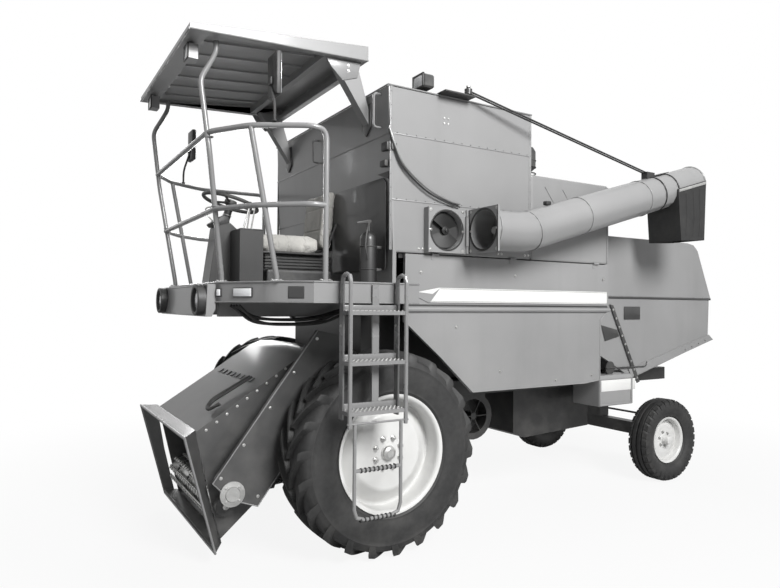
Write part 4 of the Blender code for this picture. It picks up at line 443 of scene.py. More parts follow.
class Piece:
    """One new piece. Shapes are added in the machine's own frame, from the ground under the front axle."""

    def __init__(self, name: str) -> None:
        """Starts an empty piece.

        Args:
            name: The object's name.
        """
        self.name = name
        self.bm = bmesh.new()

    def add(self, shape: bmesh.types.BMesh, matrix: Matrix | None = None) -> "Piece":
        """Merges a shape's doubles, turns its faces outwards and adds it.

        Args:
            shape: The bmesh to add, which is used up.
            matrix: Where it goes, or None for where it is.

        Returns:
            The piece, so that calls can follow each other.
        """
        if matrix is not None:
            bmesh.ops.transform(shape, matrix=matrix, verts=shape.verts)
        bmesh.ops.remove_doubles(shape, verts=shape.verts, dist=WELD)
        bmesh.ops.recalc_face_normals(shape, faces=shape.faces)
        mesh = bpy.data.meshes.new("shape")
        shape.to_mesh(mesh)
        shape.free()
        self.bm.from_mesh(mesh)
        bpy.data.meshes.remove(mesh)
        return self

    def block(self, low: Point, high: Point, round_off: float = 0.0, matrix: Matrix | None = None) -> "Piece":
        """Adds a block with bevelled edges.

        Args:
            low: Its lowest corner.
            high: Its highest corner.
            round_off: The bevel's width, or 0 for crisp edges.
            matrix: Where it goes, or None for where it is.

        Returns:
            The piece.
        """
        shape = cuboid(low, high)
        if round_off > 0.0:
            soften(shape, round_off)
        return self.add(shape, matrix)

    def bar(self, start: Point, end: Point, radius: float, sides: int = 20, round_off: float = 0.0,
            tip: float | None = None) -> "Piece":
        """Adds a round bar between two points.

        Args:
            start: The middle of its first end.
            end: The middle of its last end.
            radius: Its radius at the start.
            sides: Sides of the bar.
            round_off: The bevel's width on its rims, or 0 for crisp rims.
            tip: Its radius at the end where it tapers, or None.

        Returns:
            The piece.
        """
        first, last = Vector(start), Vector(end)
        shape = bmesh.new()
        turn = (last - first).to_track_quat("Z", "Y").to_matrix().to_4x4()
        bmesh.ops.create_cone(shape, cap_ends=True, segments=sides, radius1=radius,
                              radius2=radius if tip is None else tip, depth=(last - first).length)
        if round_off > 0.0:
            rims = [edge for edge in shape.edges if abs(edge.verts[0].co.z - edge.verts[1].co.z) < 1e-6]
            bmesh.ops.bevel(shape, geom=rims, offset=round_off, segments=2, profile=0.5,
                            affect="EDGES", material=-1)
        return self.add(shape, Matrix.Translation((first + last) / 2) @ turn)

    def turned(self, profile: list[Pair], centre: Point, axis: Axis = Axis.Y, steps: int = 48,
               facing: int = 1) -> "Piece":
        """Adds a profile of (radius, offset) spun once round an axis.

        Args:
            profile: A closed outline, unless both ends lie on the axis.
            centre: The point of the axis where the offset is 0.
            axis: The axis of the turn.
            steps: Steps in the whole turn.
            facing: 1, or -1 to flip the offsets.

        Returns:
            The piece.
        """
        shape = bmesh.new()
        corners = [shape.verts.new((radius, 0.0, offset * facing)) for radius, offset in profile]
        closed = profile[0][0] > 1e-6 or profile[-1][0] > 1e-6
        pairs = list(zip(corners, corners[1:])) + ([(corners[-1], corners[0])] if closed else [])
        edges = [shape.edges.new(pair) for pair in pairs]
        bmesh.ops.spin(shape, geom=corners + edges, axis=(0, 0, 1), cent=(0, 0, 0),
                       steps=steps, angle=math.tau,
                       use_merge=True)
        turn = Vector(axis.value).to_track_quat("Z", "X").to_matrix().to_4x4()
        return self.add(shape, Matrix.Translation(centre) @ turn)

    def plate(self, outline: list[Pair], along: Axis, low: float, high: float, round_off: float = 0.0,
              matrix: Matrix | None = None) -> "Piece":
        """Adds a flat outline with thickness along one axis.

        Args:
            outline: Its corners, by the other two axes in order.
            along: The axis of its thickness.
            low: Where the thickness begins.
            high: Where it ends.
            round_off: The bevel's width, or 0 for crisp edges.
            matrix: Where it goes, or None for where it is.

        Returns:
            The piece.
        """
        shape = bmesh.new()
        corners = [shape.verts.new(lift(along, u, v, low)) for u, v in outline]
        shape.faces.new(corners)
        grown = bmesh.ops.extrude_face_region(shape, geom=shape.faces[:])["geom"]
        push = Vector(along.value) * (high - low)
        moved = [item for item in grown if isinstance(item, bmesh.types.BMVert)]
        bmesh.ops.translate(shape, vec=push, verts=moved)
        if round_off > 0.0:
            bmesh.ops.recalc_face_normals(shape, faces=shape.faces)
            soften(shape, round_off)
        return self.add(shape, matrix)

    def pipe(self, points: list[Vector] | list[Point], radius: float, sides: int = 12) -> "Piece":
        """Adds a closed round tube that follows the points, each ring grown from the last.

        Args:
            points: The centre line.
            radius: The tube's radius.
            sides: Sides of the tube.

        Returns:
            The piece.
        """
        line = [Vector(point) for point in points]
        shape = bmesh.new()
        ways = [(after - before).normalized() for before, after in zip(line, line[1:])]
        tangents = [ways[0]] + [(one + other).normalized() for one, other in zip(ways, ways[1:])] + [ways[-1]]
        turn = tangents[0].to_track_quat("Z", "Y")
        start = Matrix.Translation(line[0]) @ turn.to_matrix().to_4x4()
        bmesh.ops.create_circle(shape, cap_ends=True, segments=sides, radius=radius, matrix=start)
        edges = [edge for edge in shape.edges if len(edge.link_faces) < 2]
        for index in range(1, len(line)):
            grown = bmesh.ops.extrude_edge_only(shape, edges=edges)["geom"]
            ring = [item for item in grown if isinstance(item, bmesh.types.BMVert)]
            edges = [item for item in grown if isinstance(item, bmesh.types.BMEdge)]
            step = tangents[index - 1].rotation_difference(tangents[index]).to_matrix().to_4x4()
            move = Matrix.Translation(line[index]) @ step @ Matrix.Translation(-line[index - 1])
            bmesh.ops.transform(shape, matrix=move, verts=ring)
        bmesh.ops.contextual_create(shape, geom=edges)
        return self.add(shape)

    def finish(self, look: Finish, body: str, replaces: tuple[str, ...] = (), smooth: float = 32.0,
               width: float = 0.0) -> bpy.types.Object:
        """Makes the object, dresses it and hangs it on its body.

        Args:
            look: The surface.
            body: The CAD body it moves with.
            replaces: The CAD nodes it stands for.
            smooth: Edges sharper than this many degrees stay crisp.
            width: The width of a bevel on its crisp edges, or 0.

        Returns:
            The finished object.
        """
        bmesh.ops.translate(self.bm, vec=AXLE, verts=self.bm.verts)
        mesh = bpy.data.meshes.new(self.name)
        self.bm.to_mesh(mesh)
        self.bm.free()
        piece = placed(self.name, mesh)
        mesh.materials.append(look.material())
        mesh.shade_smooth()
        mesh.set_sharp_from_angle(angle=math.radians(smooth))
        if width > 0.0:
            bevel = piece.modifiers.new("edge", "BEVEL")
            bevel.width = width
            bevel.segments = 2
            bevel.limit_method = "ANGLE"
            bevel.angle_limit = math.radians(40.0)
            bevel.harden_normals = True
        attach(piece, body)
        if replaces:
            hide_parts(*replaces)
        return piece


def lift(along: Axis, u: float, v: float, w: float) -> Point:
    """A point of a flat outline stood up along an axis."""
    return {Axis.X: (w, u, v), Axis.Y: (u, w, v), Axis.Z: (u, v, w)}[along]


def soften(shape: bmesh.types.BMesh, width: float, sharp: float = 40.0) -> None:
    """Bevels every sharp edge, by two segments.

    Args:
        shape: The bmesh to bevel.
        width: The bevel's width.
        sharp: Edges sharper than this many degrees are bevelled.
    """
    crisp = [edge for edge in shape.edges
             if len(edge.link_faces) == 2 and math.degrees(edge.calc_face_angle(0.0)) > sharp]
    bmesh.ops.bevel(shape, geom=crisp, offset=width, segments=2, profile=0.5, affect="EDGES", material=-1,
                    clamp_overlap=True)


def rounded(points: list[Point], bend: float, steps: int = 6) -> list[Vector]:
    """The route with each inner corner turned into an arc.

    Args:
        points: The route's corners.
        bend: About the arc's radius.
        steps: Steps of each arc.

    Returns:
        The points of the rounded route.
    """
    line = [Vector(point) for point in points]
    smooth = [line[0]]
    for before, corner, after in zip(line, line[1:], line[2:]):
        first = corner + (before - corner).normalized() * min(bend, (before - corner).length * 0.45)
        last = corner + (after - corner).normalized() * min(bend, (after - corner).length * 0.45)
        for step in range(steps + 1):
            share = step / steps
            smooth.append(first.lerp(corner, share).lerp(corner.lerp(last, share), share))
    return smooth + [line[-1]]


def sagging(points: list[Point], steps: int = 6) -> list[Vector]:
    """A smooth curve through the points, for hoses and cables.

    Args:
        points: The points it passes through.
        steps: Steps between two of them.

    Returns:
        The points of the curve.
    """
    line = [Vector(point) for point in points]
    ends = [line[0] * 2 - line[1]] + line + [line[-1] * 2 - line[-2]]
    smooth = []
    for one, two, three, four in zip(ends, ends[1:], ends[2:], ends[3:]):
        for step in range(steps):
            t = step / steps
            smooth.append(0.5 * (two * 2 + (three - one) * t + (one * 2 - two * 5 + three * 4 - four) * t * t
                                 + (two * 3 - one - three * 3 + four) * t ** 3))
    return smooth + [line[-1]]


def hexagon(piece: Piece, place: Point, way: Axis, size: float, high: float) -> None:
    """Adds a hexagon bolt head with its washer.

    Args:
        piece: The piece it becomes part of.
        place: The middle of its seat.
        way: The axis it points along.
        size: Radius over the corners.
        high: The head's height; negative points it the other way.
    """
    out = Vector(way.value) * high
    seat = Vector(place)
    piece.bar(tuple(seat - out * 0.2), tuple(seat + out * 0.22), size * 1.35, 14)
    piece.bar(tuple(seat + out * 0.2), tuple(seat + out), size, 6, size * 0.12)


def dress(look: Finish, *nodes: str) -> None:
    """Gives CAD nodes whose shape stays a better material."""
    for name in nodes:
        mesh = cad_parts[name].data
        mesh.materials.clear()
        mesh.materials.append(look.material())


@dataclass
class FrontWheel:
    """Drive wheel: lugged tyre on a dished white rim with its hub and nuts."""

    side: Side
    track: float = 2.06
    radius: float = 0.70
    half: float = 0.189
    tread: float = 0.664
    lugs: int = 22
    sweep: float = math.radians(21.0)
    lug_width: float = 0.060
    studs: int = 8
    stud_circle: float = 0.105

    def centre(self) -> Vector:
        """The wheel's middle, in the machine's frame."""
        return Vector((0.0, self.side.value * self.track / 2, self.radius))

    def section(self) -> list[Pair]:
        """Half the carcass's section, from the bead out to the middle of the tread."""
        return [(0.397, 0.1674), (0.409, 0.1690), (0.420, 0.1745), (0.428, 0.1800), (0.434, 0.1790),
                (0.446, 0.1800),
                (0.470, 0.1850), (0.500, 0.1880), (0.540, 0.1890), (0.575, 0.1885), (0.596, 0.1870),
                (0.600, 0.1885),
                (0.606, 0.1885), (0.610, 0.1850), (0.628, 0.1790), (0.644, 0.1680), (0.654, 0.1500),
                (0.660, 0.1150), (self.tread, 0.0600), (self.tread + 0.001, 0.0)]

    def carcass_radius(self, offset: float) -> float:
        """The carcass's radius at this offset from its middle, on the tread and shoulder."""
        outer = [(radius, width) for radius, width in self.section() if radius > 0.605]
        for (low, wide), (high, narrow) in zip(outer, outer[1:]):
            if narrow <= abs(offset) <= wide:
                return low + (high - low) * (wide - abs(offset)) / max(wide - narrow, 1e-6)
        return outer[0][0]

    def lug(self, shape: bmesh.types.BMesh, way: int) -> None:
        """Adds one lug, bent round the tread, to a bmesh whose axis is Y.

        Args:
            shape: The bmesh that takes it.
            way: 1 or -1, the half of the tread it stands on.
        """
        bmesh.ops.create_cube(shape, size=1.0)
        long_edges = [edge for edge in shape.edges if abs(edge.verts[0].co.y - edge.verts[1].co.y) > 0.5]
        bmesh.ops.subdivide_edges(shape, edges=long_edges, cuts=13, use_grid_fill=True)
        for vert in shape.verts:
            share = vert.co.y + 0.5
            offset = 0.004 + share * (self.half - 0.004)
            top = vert.co.z > 0
            crown = self.radius - 0.001 - 0.012 * (offset / self.half) ** 4
            base = self.carcass_radius(offset) - 0.004
            fade = 1.0 if share < 0.86 else 1.0 - 0.9 * ((share - 0.86) / 0.14) ** 1.5
            radius = base + (crown - base) * fade if top else base
            width = self.lug_width * (0.62 + 0.50 * share) * (0.74 if top else 1.0)
            stagger = math.pi / self.lugs if way < 0 else 0.0
            lean = self.sweep * (share ** 0.85) + stagger + math.radians(2.6)
            turn = lean + vert.co.x * width / self.radius
            push = min(offset, self.half - 0.0005) if share < 0.97 else self.half - 0.002
            vert.co = Vector((radius * math.cos(turn), way * push, radius * math.sin(turn)))

    def tyre(self) -> None:
        """Spins the carcass and stands the lugs on it, two staggered rows that sweep back."""
        piece = Piece(f"drive_tyre_{self.side.word}")
        piece.turned(both_halves(self.section()), tuple(self.centre()), Axis.Y, 132)
        for way in (1, -1):
            shape = bmesh.new()
            self.lug(shape, way)
            fan(shape, self.lugs)
            piece.add(shape, Matrix.Translation(self.centre()))
        piece.finish(Finishes.RUBBER, f"front_wheel_{self.side.word}",
                     (f"front_tyre_{self.side.word}",), 42.0)

    def rim(self) -> None:
        """Spins barrel, flanges and dish in one, and adds nuts, hub cap and valve."""
        piece = Piece(f"drive_rim_{self.side.word}")
        disc = 0.107
        profile = [(0.4080, 0.1780), (0.4080, 0.1700), (0.4040, 0.1685), (0.3960, 0.1684), (0.3870, 0.1640),
                   (0.3860, 0.1500), (0.3860, -0.1500), (0.3870, -0.1640), (0.3960, -0.1684),
                   (0.4080, -0.1690),
                   (0.4080, -0.1780), (0.3990, -0.1775), (0.3790, -0.1600), (0.3740, -0.1400),
                   (0.3740, -0.0200),
                   (0.3690, 0.0060), (0.3500, 0.0200), (0.2850, 0.0820), (0.2640, 0.0900), (0.1000, 0.0950),
                   (0.1000, -0.1600), (0.0500, -0.1600), (0.0500, disc - 0.030), (0.0, disc - 0.030)]
        face = [(0.0, disc + 0.0130), (0.0480, disc + 0.0130), (0.0530, disc + 0.0110),
                (0.0550, disc + 0.0020),
                (0.0600, disc), (0.1500, disc), (0.1560, disc - 0.0015), (0.2400, disc - 0.0015),
                (0.2560, disc - 0.0040), (0.2680, disc - 0.0120), (0.2760, disc - 0.0180), (0.3450, 0.0370),
                (0.3600, 0.0290), (0.3720, 0.0310), (0.3760, 0.0400), (0.3760, 0.1450), (0.3790, 0.1600),
                (0.3860, 0.1720), (0.3980, 0.1775)]
        piece.turned(profile + face, tuple(self.centre()), Axis.Y, 96, self.side.value)
        piece.finish(Finishes.RIM, f"front_wheel_{self.side.word}", (f"front_rim_{self.side.word}",), 38.0)
        self.hub()

    def hub(self) -> None:
        """Dark hub ring with its nuts, a small cap and the valve stem."""
        piece = Piece(f"drive_hub_nuts_{self.side.word}")
        centre, out = self.centre(), self.side.value
        seat = centre.y + out * 0.107
        piece.turned([(0.0, 0.0), (0.0, 0.026), (0.026, 0.026), (0.032, 0.020), (0.046, 0.016), (0.050, 0.0)],
                     (0.0, centre.y + out * 0.1195, centre.z), Axis.Y, 32, out)
        for index in range(self.studs):
            turn = (index + 0.5) * math.tau / self.studs
            spot = (self.stud_circle * math.cos(turn), seat, centre.z + self.stud_circle * math.sin(turn))
            hexagon(piece, spot, Axis.Y, 0.0155, out * 0.020)
            piece.bar(spot, (spot[0], seat + out * 0.034, spot[2]), 0.0075, 10)
        piece.bar((0.262, seat - out * 0.012, centre.z + 0.12),
                  (0.262, seat + out * 0.030, centre.z + 0.12), 0.005, 10)
        piece.finish(Finishes.STEEL, f"front_wheel_{self.side.word}")

    def build(self) -> None:
        """Makes the whole wheel."""
        self.tyre()
        self.rim()


@dataclass
class RearWheel:
    """Steered wheel: ribbed tyre with shoulder notches on a small white rim."""

    side: Side
    wheelbase: float = 3.37
    track: float = 1.68
    radius: float = 0.40
    blocks: int = 32
    studs: int = 6

    def centre(self) -> Vector:
        """The wheel's middle, in the machine's frame."""
        return Vector((-self.wheelbase, self.side.value * self.track / 2, self.radius))

    def tyre(self) -> None:
        """Spins the carcass with its three grooves and stands the shoulder blocks on it."""
        piece = Piece(f"steered_tyre_{self.side.word}")
        half = [(0.2165, 0.0613), (0.2290, 0.0625), (0.2350, 0.0720), (0.2420, 0.0800), (0.2480, 0.0800),
                (0.2650, 0.0930), (0.3000, 0.1060), (0.3200, 0.1075), (0.3420, 0.1060), (0.3600, 0.1010),
                (0.3740, 0.0940), (0.3830, 0.0850), (0.3900, 0.0660), (0.3940, 0.0600), (0.3830, 0.0560),
                (0.3830, 0.0480), (0.3985, 0.0450), (0.4000, 0.0300), (0.3995, 0.0130), (0.3860, 0.0100),
                (0.3860, 0.0)]
        piece.turned(both_halves(half), tuple(self.centre()), Axis.Y, 96)
        for way in (1, -1):
            shape = bmesh.new()
            blocks = bmesh.ops.create_cube(shape, size=1.0)["verts"]
            for vert in blocks:
                inner = vert.co.y < 0
                top = vert.co.z > 0
                radius = (0.3965 if inner else 0.3800) if top else (0.376 if inner else 0.345)
                offset = 0.062 if inner else (0.1000 if top else 0.1062)
                turn = vert.co.x * math.radians(7.4) + (0.03 if inner else 0.0)
                vert.co = Vector((radius * math.cos(turn), way * offset, radius * math.sin(turn)))
            soften(shape, 0.003)
            fan(shape, self.blocks)
            piece.add(shape, Matrix.Translation(self.centre()))
        piece.finish(Finishes.RUBBER, f"rear_wheel_{self.side.word}", (f"rear_tyre_{self.side.word}",), 40.0)

    def rim(self) -> None:
        """Spins the small rim and adds its cap and nuts."""
        piece = Piece(f"steered_rim_{self.side.word}")
        profile = [(0.2250, 0.0720), (0.2250, 0.0640), (0.2200, 0.0622), (0.2080, 0.0615), (0.2065, 0.0560),
                   (0.2065, -0.0560), (0.2080, -0.0615), (0.2250, -0.0630), (0.2250, -0.0720),
                   (0.2170, -0.0715),
                   (0.1990, -0.0600), (0.1970, -0.0200), (0.1850, -0.0050), (0.1400, 0.0080),
                   (0.0700, 0.0030),
                   (0.0600, -0.0700), (0.0300, -0.0700), (0.0300, 0.0600), (0.0, 0.0600), (0.0, 0.0915),
                   (0.0300, 0.0910), (0.0390, 0.0870), (0.0420, 0.0780), (0.0440, 0.0300), (0.0500, 0.0220),
                   (0.0750, 0.0160), (0.1300, 0.0205), (0.1450, 0.0190), (0.1850, 0.0050), (0.1960, 0.0060),
                   (0.1990, 0.0120), (0.1990, 0.0560), (0.2040, 0.0660), (0.2160, 0.0718)]
        piece.turned(profile, tuple(self.centre()), Axis.Y, 80, self.side.value)
        piece.finish(Finishes.RIM, f"rear_wheel_{self.side.word}", (f"rear_rim_{self.side.word}",), 38.0)
        nuts = Piece(f"steered_nuts_{self.side.word}")
        centre = self.centre()
        for index in range(self.studs):
            turn = (index + 0.25) * math.tau / self.studs
            spot = (centre.x + 0.072 * math.cos(turn), centre.y + self.side.value * 0.016,
                    centre.z + 0.072 * math.sin(turn))
            hexagon(nuts, spot, Axis.Y, 0.012, self.side.value * 0.016)
        nuts.finish(Finishes.STEEL, f"rear_wheel_{self.side.word}")

    def build(self) -> None:
        """Makes the whole wheel."""
        self.tyre()
        self.rim()


def facing_out(origin: Point, way: Pair) -> Matrix:
    """A frame on an upright face: local X points out along way, local Y runs level, local Z is up."""
    out = Vector((way[0], way[1], 0.0)).normalized()
    level = Vector((-out.y, out.x, 0.0))
    return Matrix.Translation(origin) @ Matrix((out, level, Vector((0, 0, 1)))).transposed().to_4x4()


def rivet_row(piece: Piece, start: Point, end: Point, way: Axis, count: int, size: float = 0.006,
              out: int = 1) -> None:
    """Adds low domed rivets in a straight row, first and last included.

    Args:
        piece: The piece they become part of.
        start: The first rivet's seat.
        end: The last rivet's seat.
        way: The axis they stand along.
        count: How many.
        size: Their radius.
        out: 1, or -1 to point them the other way.
    """
    first, last = Vector(start), Vector(end)
    for index in range(count):
        spot = first.lerp(last, index / max(count - 1, 1))
        lift_off = Vector(way.value) * size * 0.55 * out
        piece.bar(tuple(spot - lift_off * 0.3), tuple(spot + lift_off), size, 8, 0.0, size * 0.55)


def hoop(piece: Piece, centre: Point, normal: Vector, radius: float, grip: float, steps: int = 40) -> None:
    """Adds a round ring of round section.

    Args:
        piece: The piece it becomes part of.
        centre: The ring's middle.
        normal: The direction of its axis.
        radius: From its middle to the middle of its section.
        grip: The section's radius.
        steps: Steps in the whole turn.
    """
    shape = bmesh.new()
    side = Matrix.Translation((radius, 0, 0)) @ Matrix.Rotation(math.pi / 2, 4, "X")
    bmesh.ops.create_circle(shape, segments=12, radius=grip, matrix=side)
    bmesh.ops.spin(shape, geom=shape.verts[:] + shape.edges[:], axis=(0, 0, 1), cent=(0, 0, 0), steps=steps,
                   angle=math.tau, use_merge=True)
    piece.add(shape, Matrix.Translation(centre) @ normal.to_track_quat("Z", "Y").to_matrix().to_4x4())


@dataclass
class Fascia:
    """The platform's front: lamps in dark bezels, marker lamps, edge trim and a blank framed plate."""

    lamp_x: float = 1.155
    lamp_y: float = 0.585
    lamp_z: float = 1.735
    top: float = 1.857

    def lamps(self) -> None:
        """Headlamp glasses seated in the dishes, with a thick dark ring round each."""
        glass = Piece("headlamp_glass")
        ring = Piece("headlamp_rings")
        for side in Side:
            spot = (self.lamp_x, side.value * self.lamp_y, self.lamp_z)
            glass.turned([(0.0, 0.019), (0.030, 0.0175), (0.055, 0.0130), (0.072, 0.0070), (0.0795, 0.0030),
                          (0.0795, 0.0006), (0.0, 0.0006)], spot, Axis.X, 48)
            ring.turned([(0.0805, 0.0010), (0.0805, 0.0260), (0.0850, 0.0300), (0.0980, 0.0300),
                         (0.1035, 0.0255),
                         (0.1035, -0.0280), (0.1006, -0.0280), (0.1006, 0.0254), (0.0816, 0.0254),
                         (0.0816, 0.0010)],
                        spot, Axis.X, 48)
        glass.finish(Finishes.LENS, "machine")
        ring.finish(Finishes.PLASTIC, "machine")

    def markers(self) -> None:
        """Oblong marker lamps on the slanting faces, with their dark frames."""
        glass = Piece("marker_glass")
        frame_ring = Piece("marker_frames")
        for side in Side:
            for spot, way, wide, high in (((0.950, side.value * 0.8935, 1.785),
                                           (0.867, side.value * 0.4986), 0.075, 0.026),
                                          ((1.055, side.value * 0.7185, 1.785),
                                           (0.777, side.value * 0.630), 0.014, 0.022)):
                place = facing_out(spot, way)
                frame_ring.block((0.0004, -wide - 0.006, -high - 0.006),
                                 (0.0080, wide + 0.006, high + 0.006), 0.003, place)
                glass.block((0.0081, -wide, -high), (0.0150, wide, high), 0.004, place)
        glass.finish(Finishes.LENS, "machine")
        frame_ring.finish(Finishes.PLASTIC, "machine")

    def trim(self) -> None:
        """A rolled edge round the deck, folds along the front beam and the bare framed plate."""
        edge = Piece("platform_edge_trim")
        half = [(1.072, 0.0), (1.072, 0.700), (1.042, 0.739), (0.862, 1.052), (0.822, 1.182), (0.652, 1.332),
                (-0.118, 1.332)]
        for side in Side:
            edge.pipe([(x, side.value * y, self.top - 0.006) for x, y in half], 0.006, 8)
            edge.pipe([(x, side.value * y, self.top - 0.134) for x, y in half], 0.005, 8)
        edge.finish(Finishes.TUBE, "machine")
        plate = Piece("platform_bare_plate")
        place = facing_out((0.735, 1.255, 1.784), (0.6617, 0.75))
        plate.block((0.0004, -0.052, -0.038), (0.0030, 0.052, 0.038), 0.001, place)
        plate.block((0.0031, -0.044, -0.030), (0.0038, 0.044, 0.030), 0.0, place)
        plate.finish(Finishes.PANEL_DARK, "machine")
        beam = Piece("front_beam_fold")
        beam.block((1.1255, -0.688, 1.8280), (1.1290, 0.688, 1.8410), 0.001)
        beam.block((1.1330, -0.688, 1.6260), (1.1370, 0.688, 1.6380), 0.001)
        beam.finish(Finishes.BODY, "machine")

    def build(self) -> None:
        """Makes the whole fascia."""
        self.lamps()
        self.markers()
        self.trim()


@dataclass
class Pad:
    """One upholstered pad, blown up as cloth from a slightly smaller block, then sewn."""

    name: str
    node: str
    low: Point
    high: Point
    seams: tuple[tuple[int, float], ...]
    lean: float = 0.0
    cap: float = 0.024
    channel: float = 0.012
    depth: float = 0.0055

    def block(self) -> bpy.types.Object:
        """The starting block: rounded, leaned about its lower edge and remeshed to an even skin."""
        shape = cuboid(self.low, self.high)
        bmesh.ops.bevel(shape, geom=shape.edges[:], offset=0.026, segments=4, profile=0.5, affect="EDGES",
                        material=-1)
        for vert in shape.verts:
            vert.co.x -= self.lean * (vert.co.z - self.low[2])
        mesh = bpy.data.meshes.new(self.name)
        shape.to_mesh(mesh)
        shape.free()
        pad = placed(self.name, mesh)
        remesh = pad.modifiers.new("skin", "REMESH")
        remesh.mode = "VOXEL"
        remesh.voxel_size = 0.006
        self.settle(pad)
        return pad

    def settle(self, pad: bpy.types.Object) -> None:
        """Makes the pad's mesh what its modifiers show, and takes them off."""
        graph = bpy.context.evaluated_depsgraph_get()
        made = bpy.data.meshes.new_from_object(pad.evaluated_get(graph))
        pad.modifiers.clear()
        old = pad.data
        pad.data = made
        bpy.data.meshes.remove(old)

    def blow_up(self, pad: bpy.types.Object) -> None:
        """Runs the cloth with inner pressure and no gravity, and caps how far each point moves."""
        rest = [vert.co.copy() for vert in pad.data.vertices]
        cloth = pad.modifiers.new("cloth", "CLOTH")
        cloth.settings.use_pressure = True
        cloth.settings.uniform_pressure_force = 4.0
        cloth.settings.effector_weights.gravity = 0.0
        cloth.settings.quality = 5
        cloth.point_cache.frame_end = CLOTH_FRAMES
        for step in range(1, CLOTH_FRAMES + 1):
            bpy.context.scene.frame_set(step)
        self.settle(pad)
        bpy.context.scene.frame_set(1)
        for vert, start in zip(pad.data.vertices, rest):
            move = vert.co - start
            if move.length > self.cap:
                vert.co = start + move.normalized() * self.cap

    def sew(self, pad: bpy.types.Object) -> None:
        """Presses narrow channels along the seams into the upper skin."""
        for vert, normal in [(vert, vert.normal.copy()) for vert in pad.data.vertices]:
            for along, value in self.seams:
                gap = abs(vert.co[along] - value)
                if gap < self.channel:
                    vert.co -= normal * self.depth * (1.0 - gap / self.channel) ** 2

    def build(self) -> None:
        pad = self.block()
        self.blow_up(pad)
        self.sew(pad)
        pad.data.transform(Matrix.Translation(AXLE))
        smooth = pad.modifiers.new("smooth", "SUBSURF")
        smooth.levels = smooth.render_levels = 1
        pad.data.materials.append(Finishes.CLOTH.material())
        pad.data.shade_smooth()
        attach(pad, "machine")
        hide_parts(self.node)


@dataclass
class DriversPlace:
    """Seat, its pod, the console with levers, and the steering wheel."""

    wheel: Point = (0.77, 0.0, 2.50)
    tilt: float = math.radians(15.0)

    def seat(self) -> None:
        """Two sewn pads on a dark shell over ribbed bellows."""
        Pad("seat_pad", "seat_cushion", (0.115, -0.243, 2.137), (0.600, 0.243, 2.233),
            ((1, -0.15), (1, 0.15), (0, 0.38))).build()
        Pad("back_pad", "seat_back", (0.010, -0.222, 2.150), (0.078, 0.222, 2.640),
            ((1, -0.13), (1, 0.13), (2, 2.32), (2, 2.50)), 0.10, 0.018).build()
        shell = Piece("seat_shell")
        shell.block((0.060, -0.252, 2.100), (0.590, 0.252, 2.1190), 0.008)
        shell.block((-0.058, -0.205, 2.160), (-0.036, 0.205, 2.560), 0.010)
        for side in Side:
            shell.pipe(rounded([(0.50, side.value * 0.262, 2.110), (0.08, side.value * 0.262, 2.110),
                                (-0.02, side.value * 0.262, 2.360)], 0.05), 0.010, 10)
        shell.finish(Finishes.PLASTIC, "machine")
        bellows = Piece("seat_bellows_folds")
        for index in range(5):
            low = 1.990 + index * 0.024
            bellows.block((0.018, -0.232, low), (0.572, 0.232, low + 0.013), 0.006)
        bellows.finish(Finishes.HOSE, "machine")

    def steering(self) -> None:
        """Rim with its grip, three flat spokes, hub cap and a rubber column sleeve."""
        way = Vector((-math.sin(self.tilt), 0.0, math.cos(self.tilt)))
        centre = Vector(self.wheel)
        rim = Piece("steering_rim")
        hoop(rim, tuple(centre), way, 0.21, 0.0145, 56)
        level = way.cross(Vector((0.0, 1.0, 0.0)))
        for index in range(3):
            turn = index * math.tau / 3
            out = level * math.cos(turn) + Vector((0.0, 1.0, 0.0)) * math.sin(turn)
            rim.bar(tuple(centre + out * 0.02), tuple(centre + out * 0.205), 0.0105, 12, 0.0, 0.008)
        rim.bar(tuple(centre - way * 0.018), tuple(centre + way * 0.018), 0.047, 32, 0.006)
        rim.finish(Finishes.PLASTIC, "machine", ("steering_wheel",))
        sleeve = Piece("column_wraps")
        for index in range(4):
            hoop(sleeve, tuple(centre - way * (0.06 + index * 0.045)), way, 0.031, 0.004, 24)
        sleeve.finish(Finishes.STEEL, "machine")

    def levers(self) -> None:
        """Levers with round knobs, a looped lever and the dial hood."""
        rods = Piece("control_levers")
        knobs = Piece("lever_knobs")
        for x, y, lean, high in ((0.66, 0.16, 0.03, 0.20), (0.71, 0.22, 0.02, 0.17),
                                 (0.76, 0.28, 0.05, 0.19)):
            foot = (x, y, 2.255)
            tip = (x - lean, y + 0.01, 2.26 + high)
            rods.bar(foot, tip, 0.006, 10)
            knobs.turned([(0.0, 0.026), (0.012, 0.023), (0.018, 0.012), (0.017, 0.0),
                          (0.009, -0.010), (0.0, -0.012)],
                         tip, Axis.Z, 20)
        rods.pipe(rounded([(0.82, -0.08, 2.300), (0.90, -0.16, 2.400), (0.93, -0.16, 2.470),
                           (0.86, -0.10, 2.475)], 0.04), 0.006, 10)
        rods.finish(Finishes.STEEL, "machine")
        knobs.finish(Finishes.PLASTIC, "machine")
        hood = Piece("dial_hood")
        hood.plate([(0.800, 2.305), (0.915, 2.302), (0.935, 2.325), (0.850, 2.390), (0.805, 2.372)], Axis.Y,
                   -0.088, 0.088, 0.006)
        hood.block((0.620, 0.108, 2.2605), (0.795, 0.332, 2.2700), 0.004)
        hood.finish(Finishes.PLASTIC, "machine")

    def build(self) -> None:
        """Makes the whole driver's place."""
        self.seat()
        self.steering()
        self.levers()


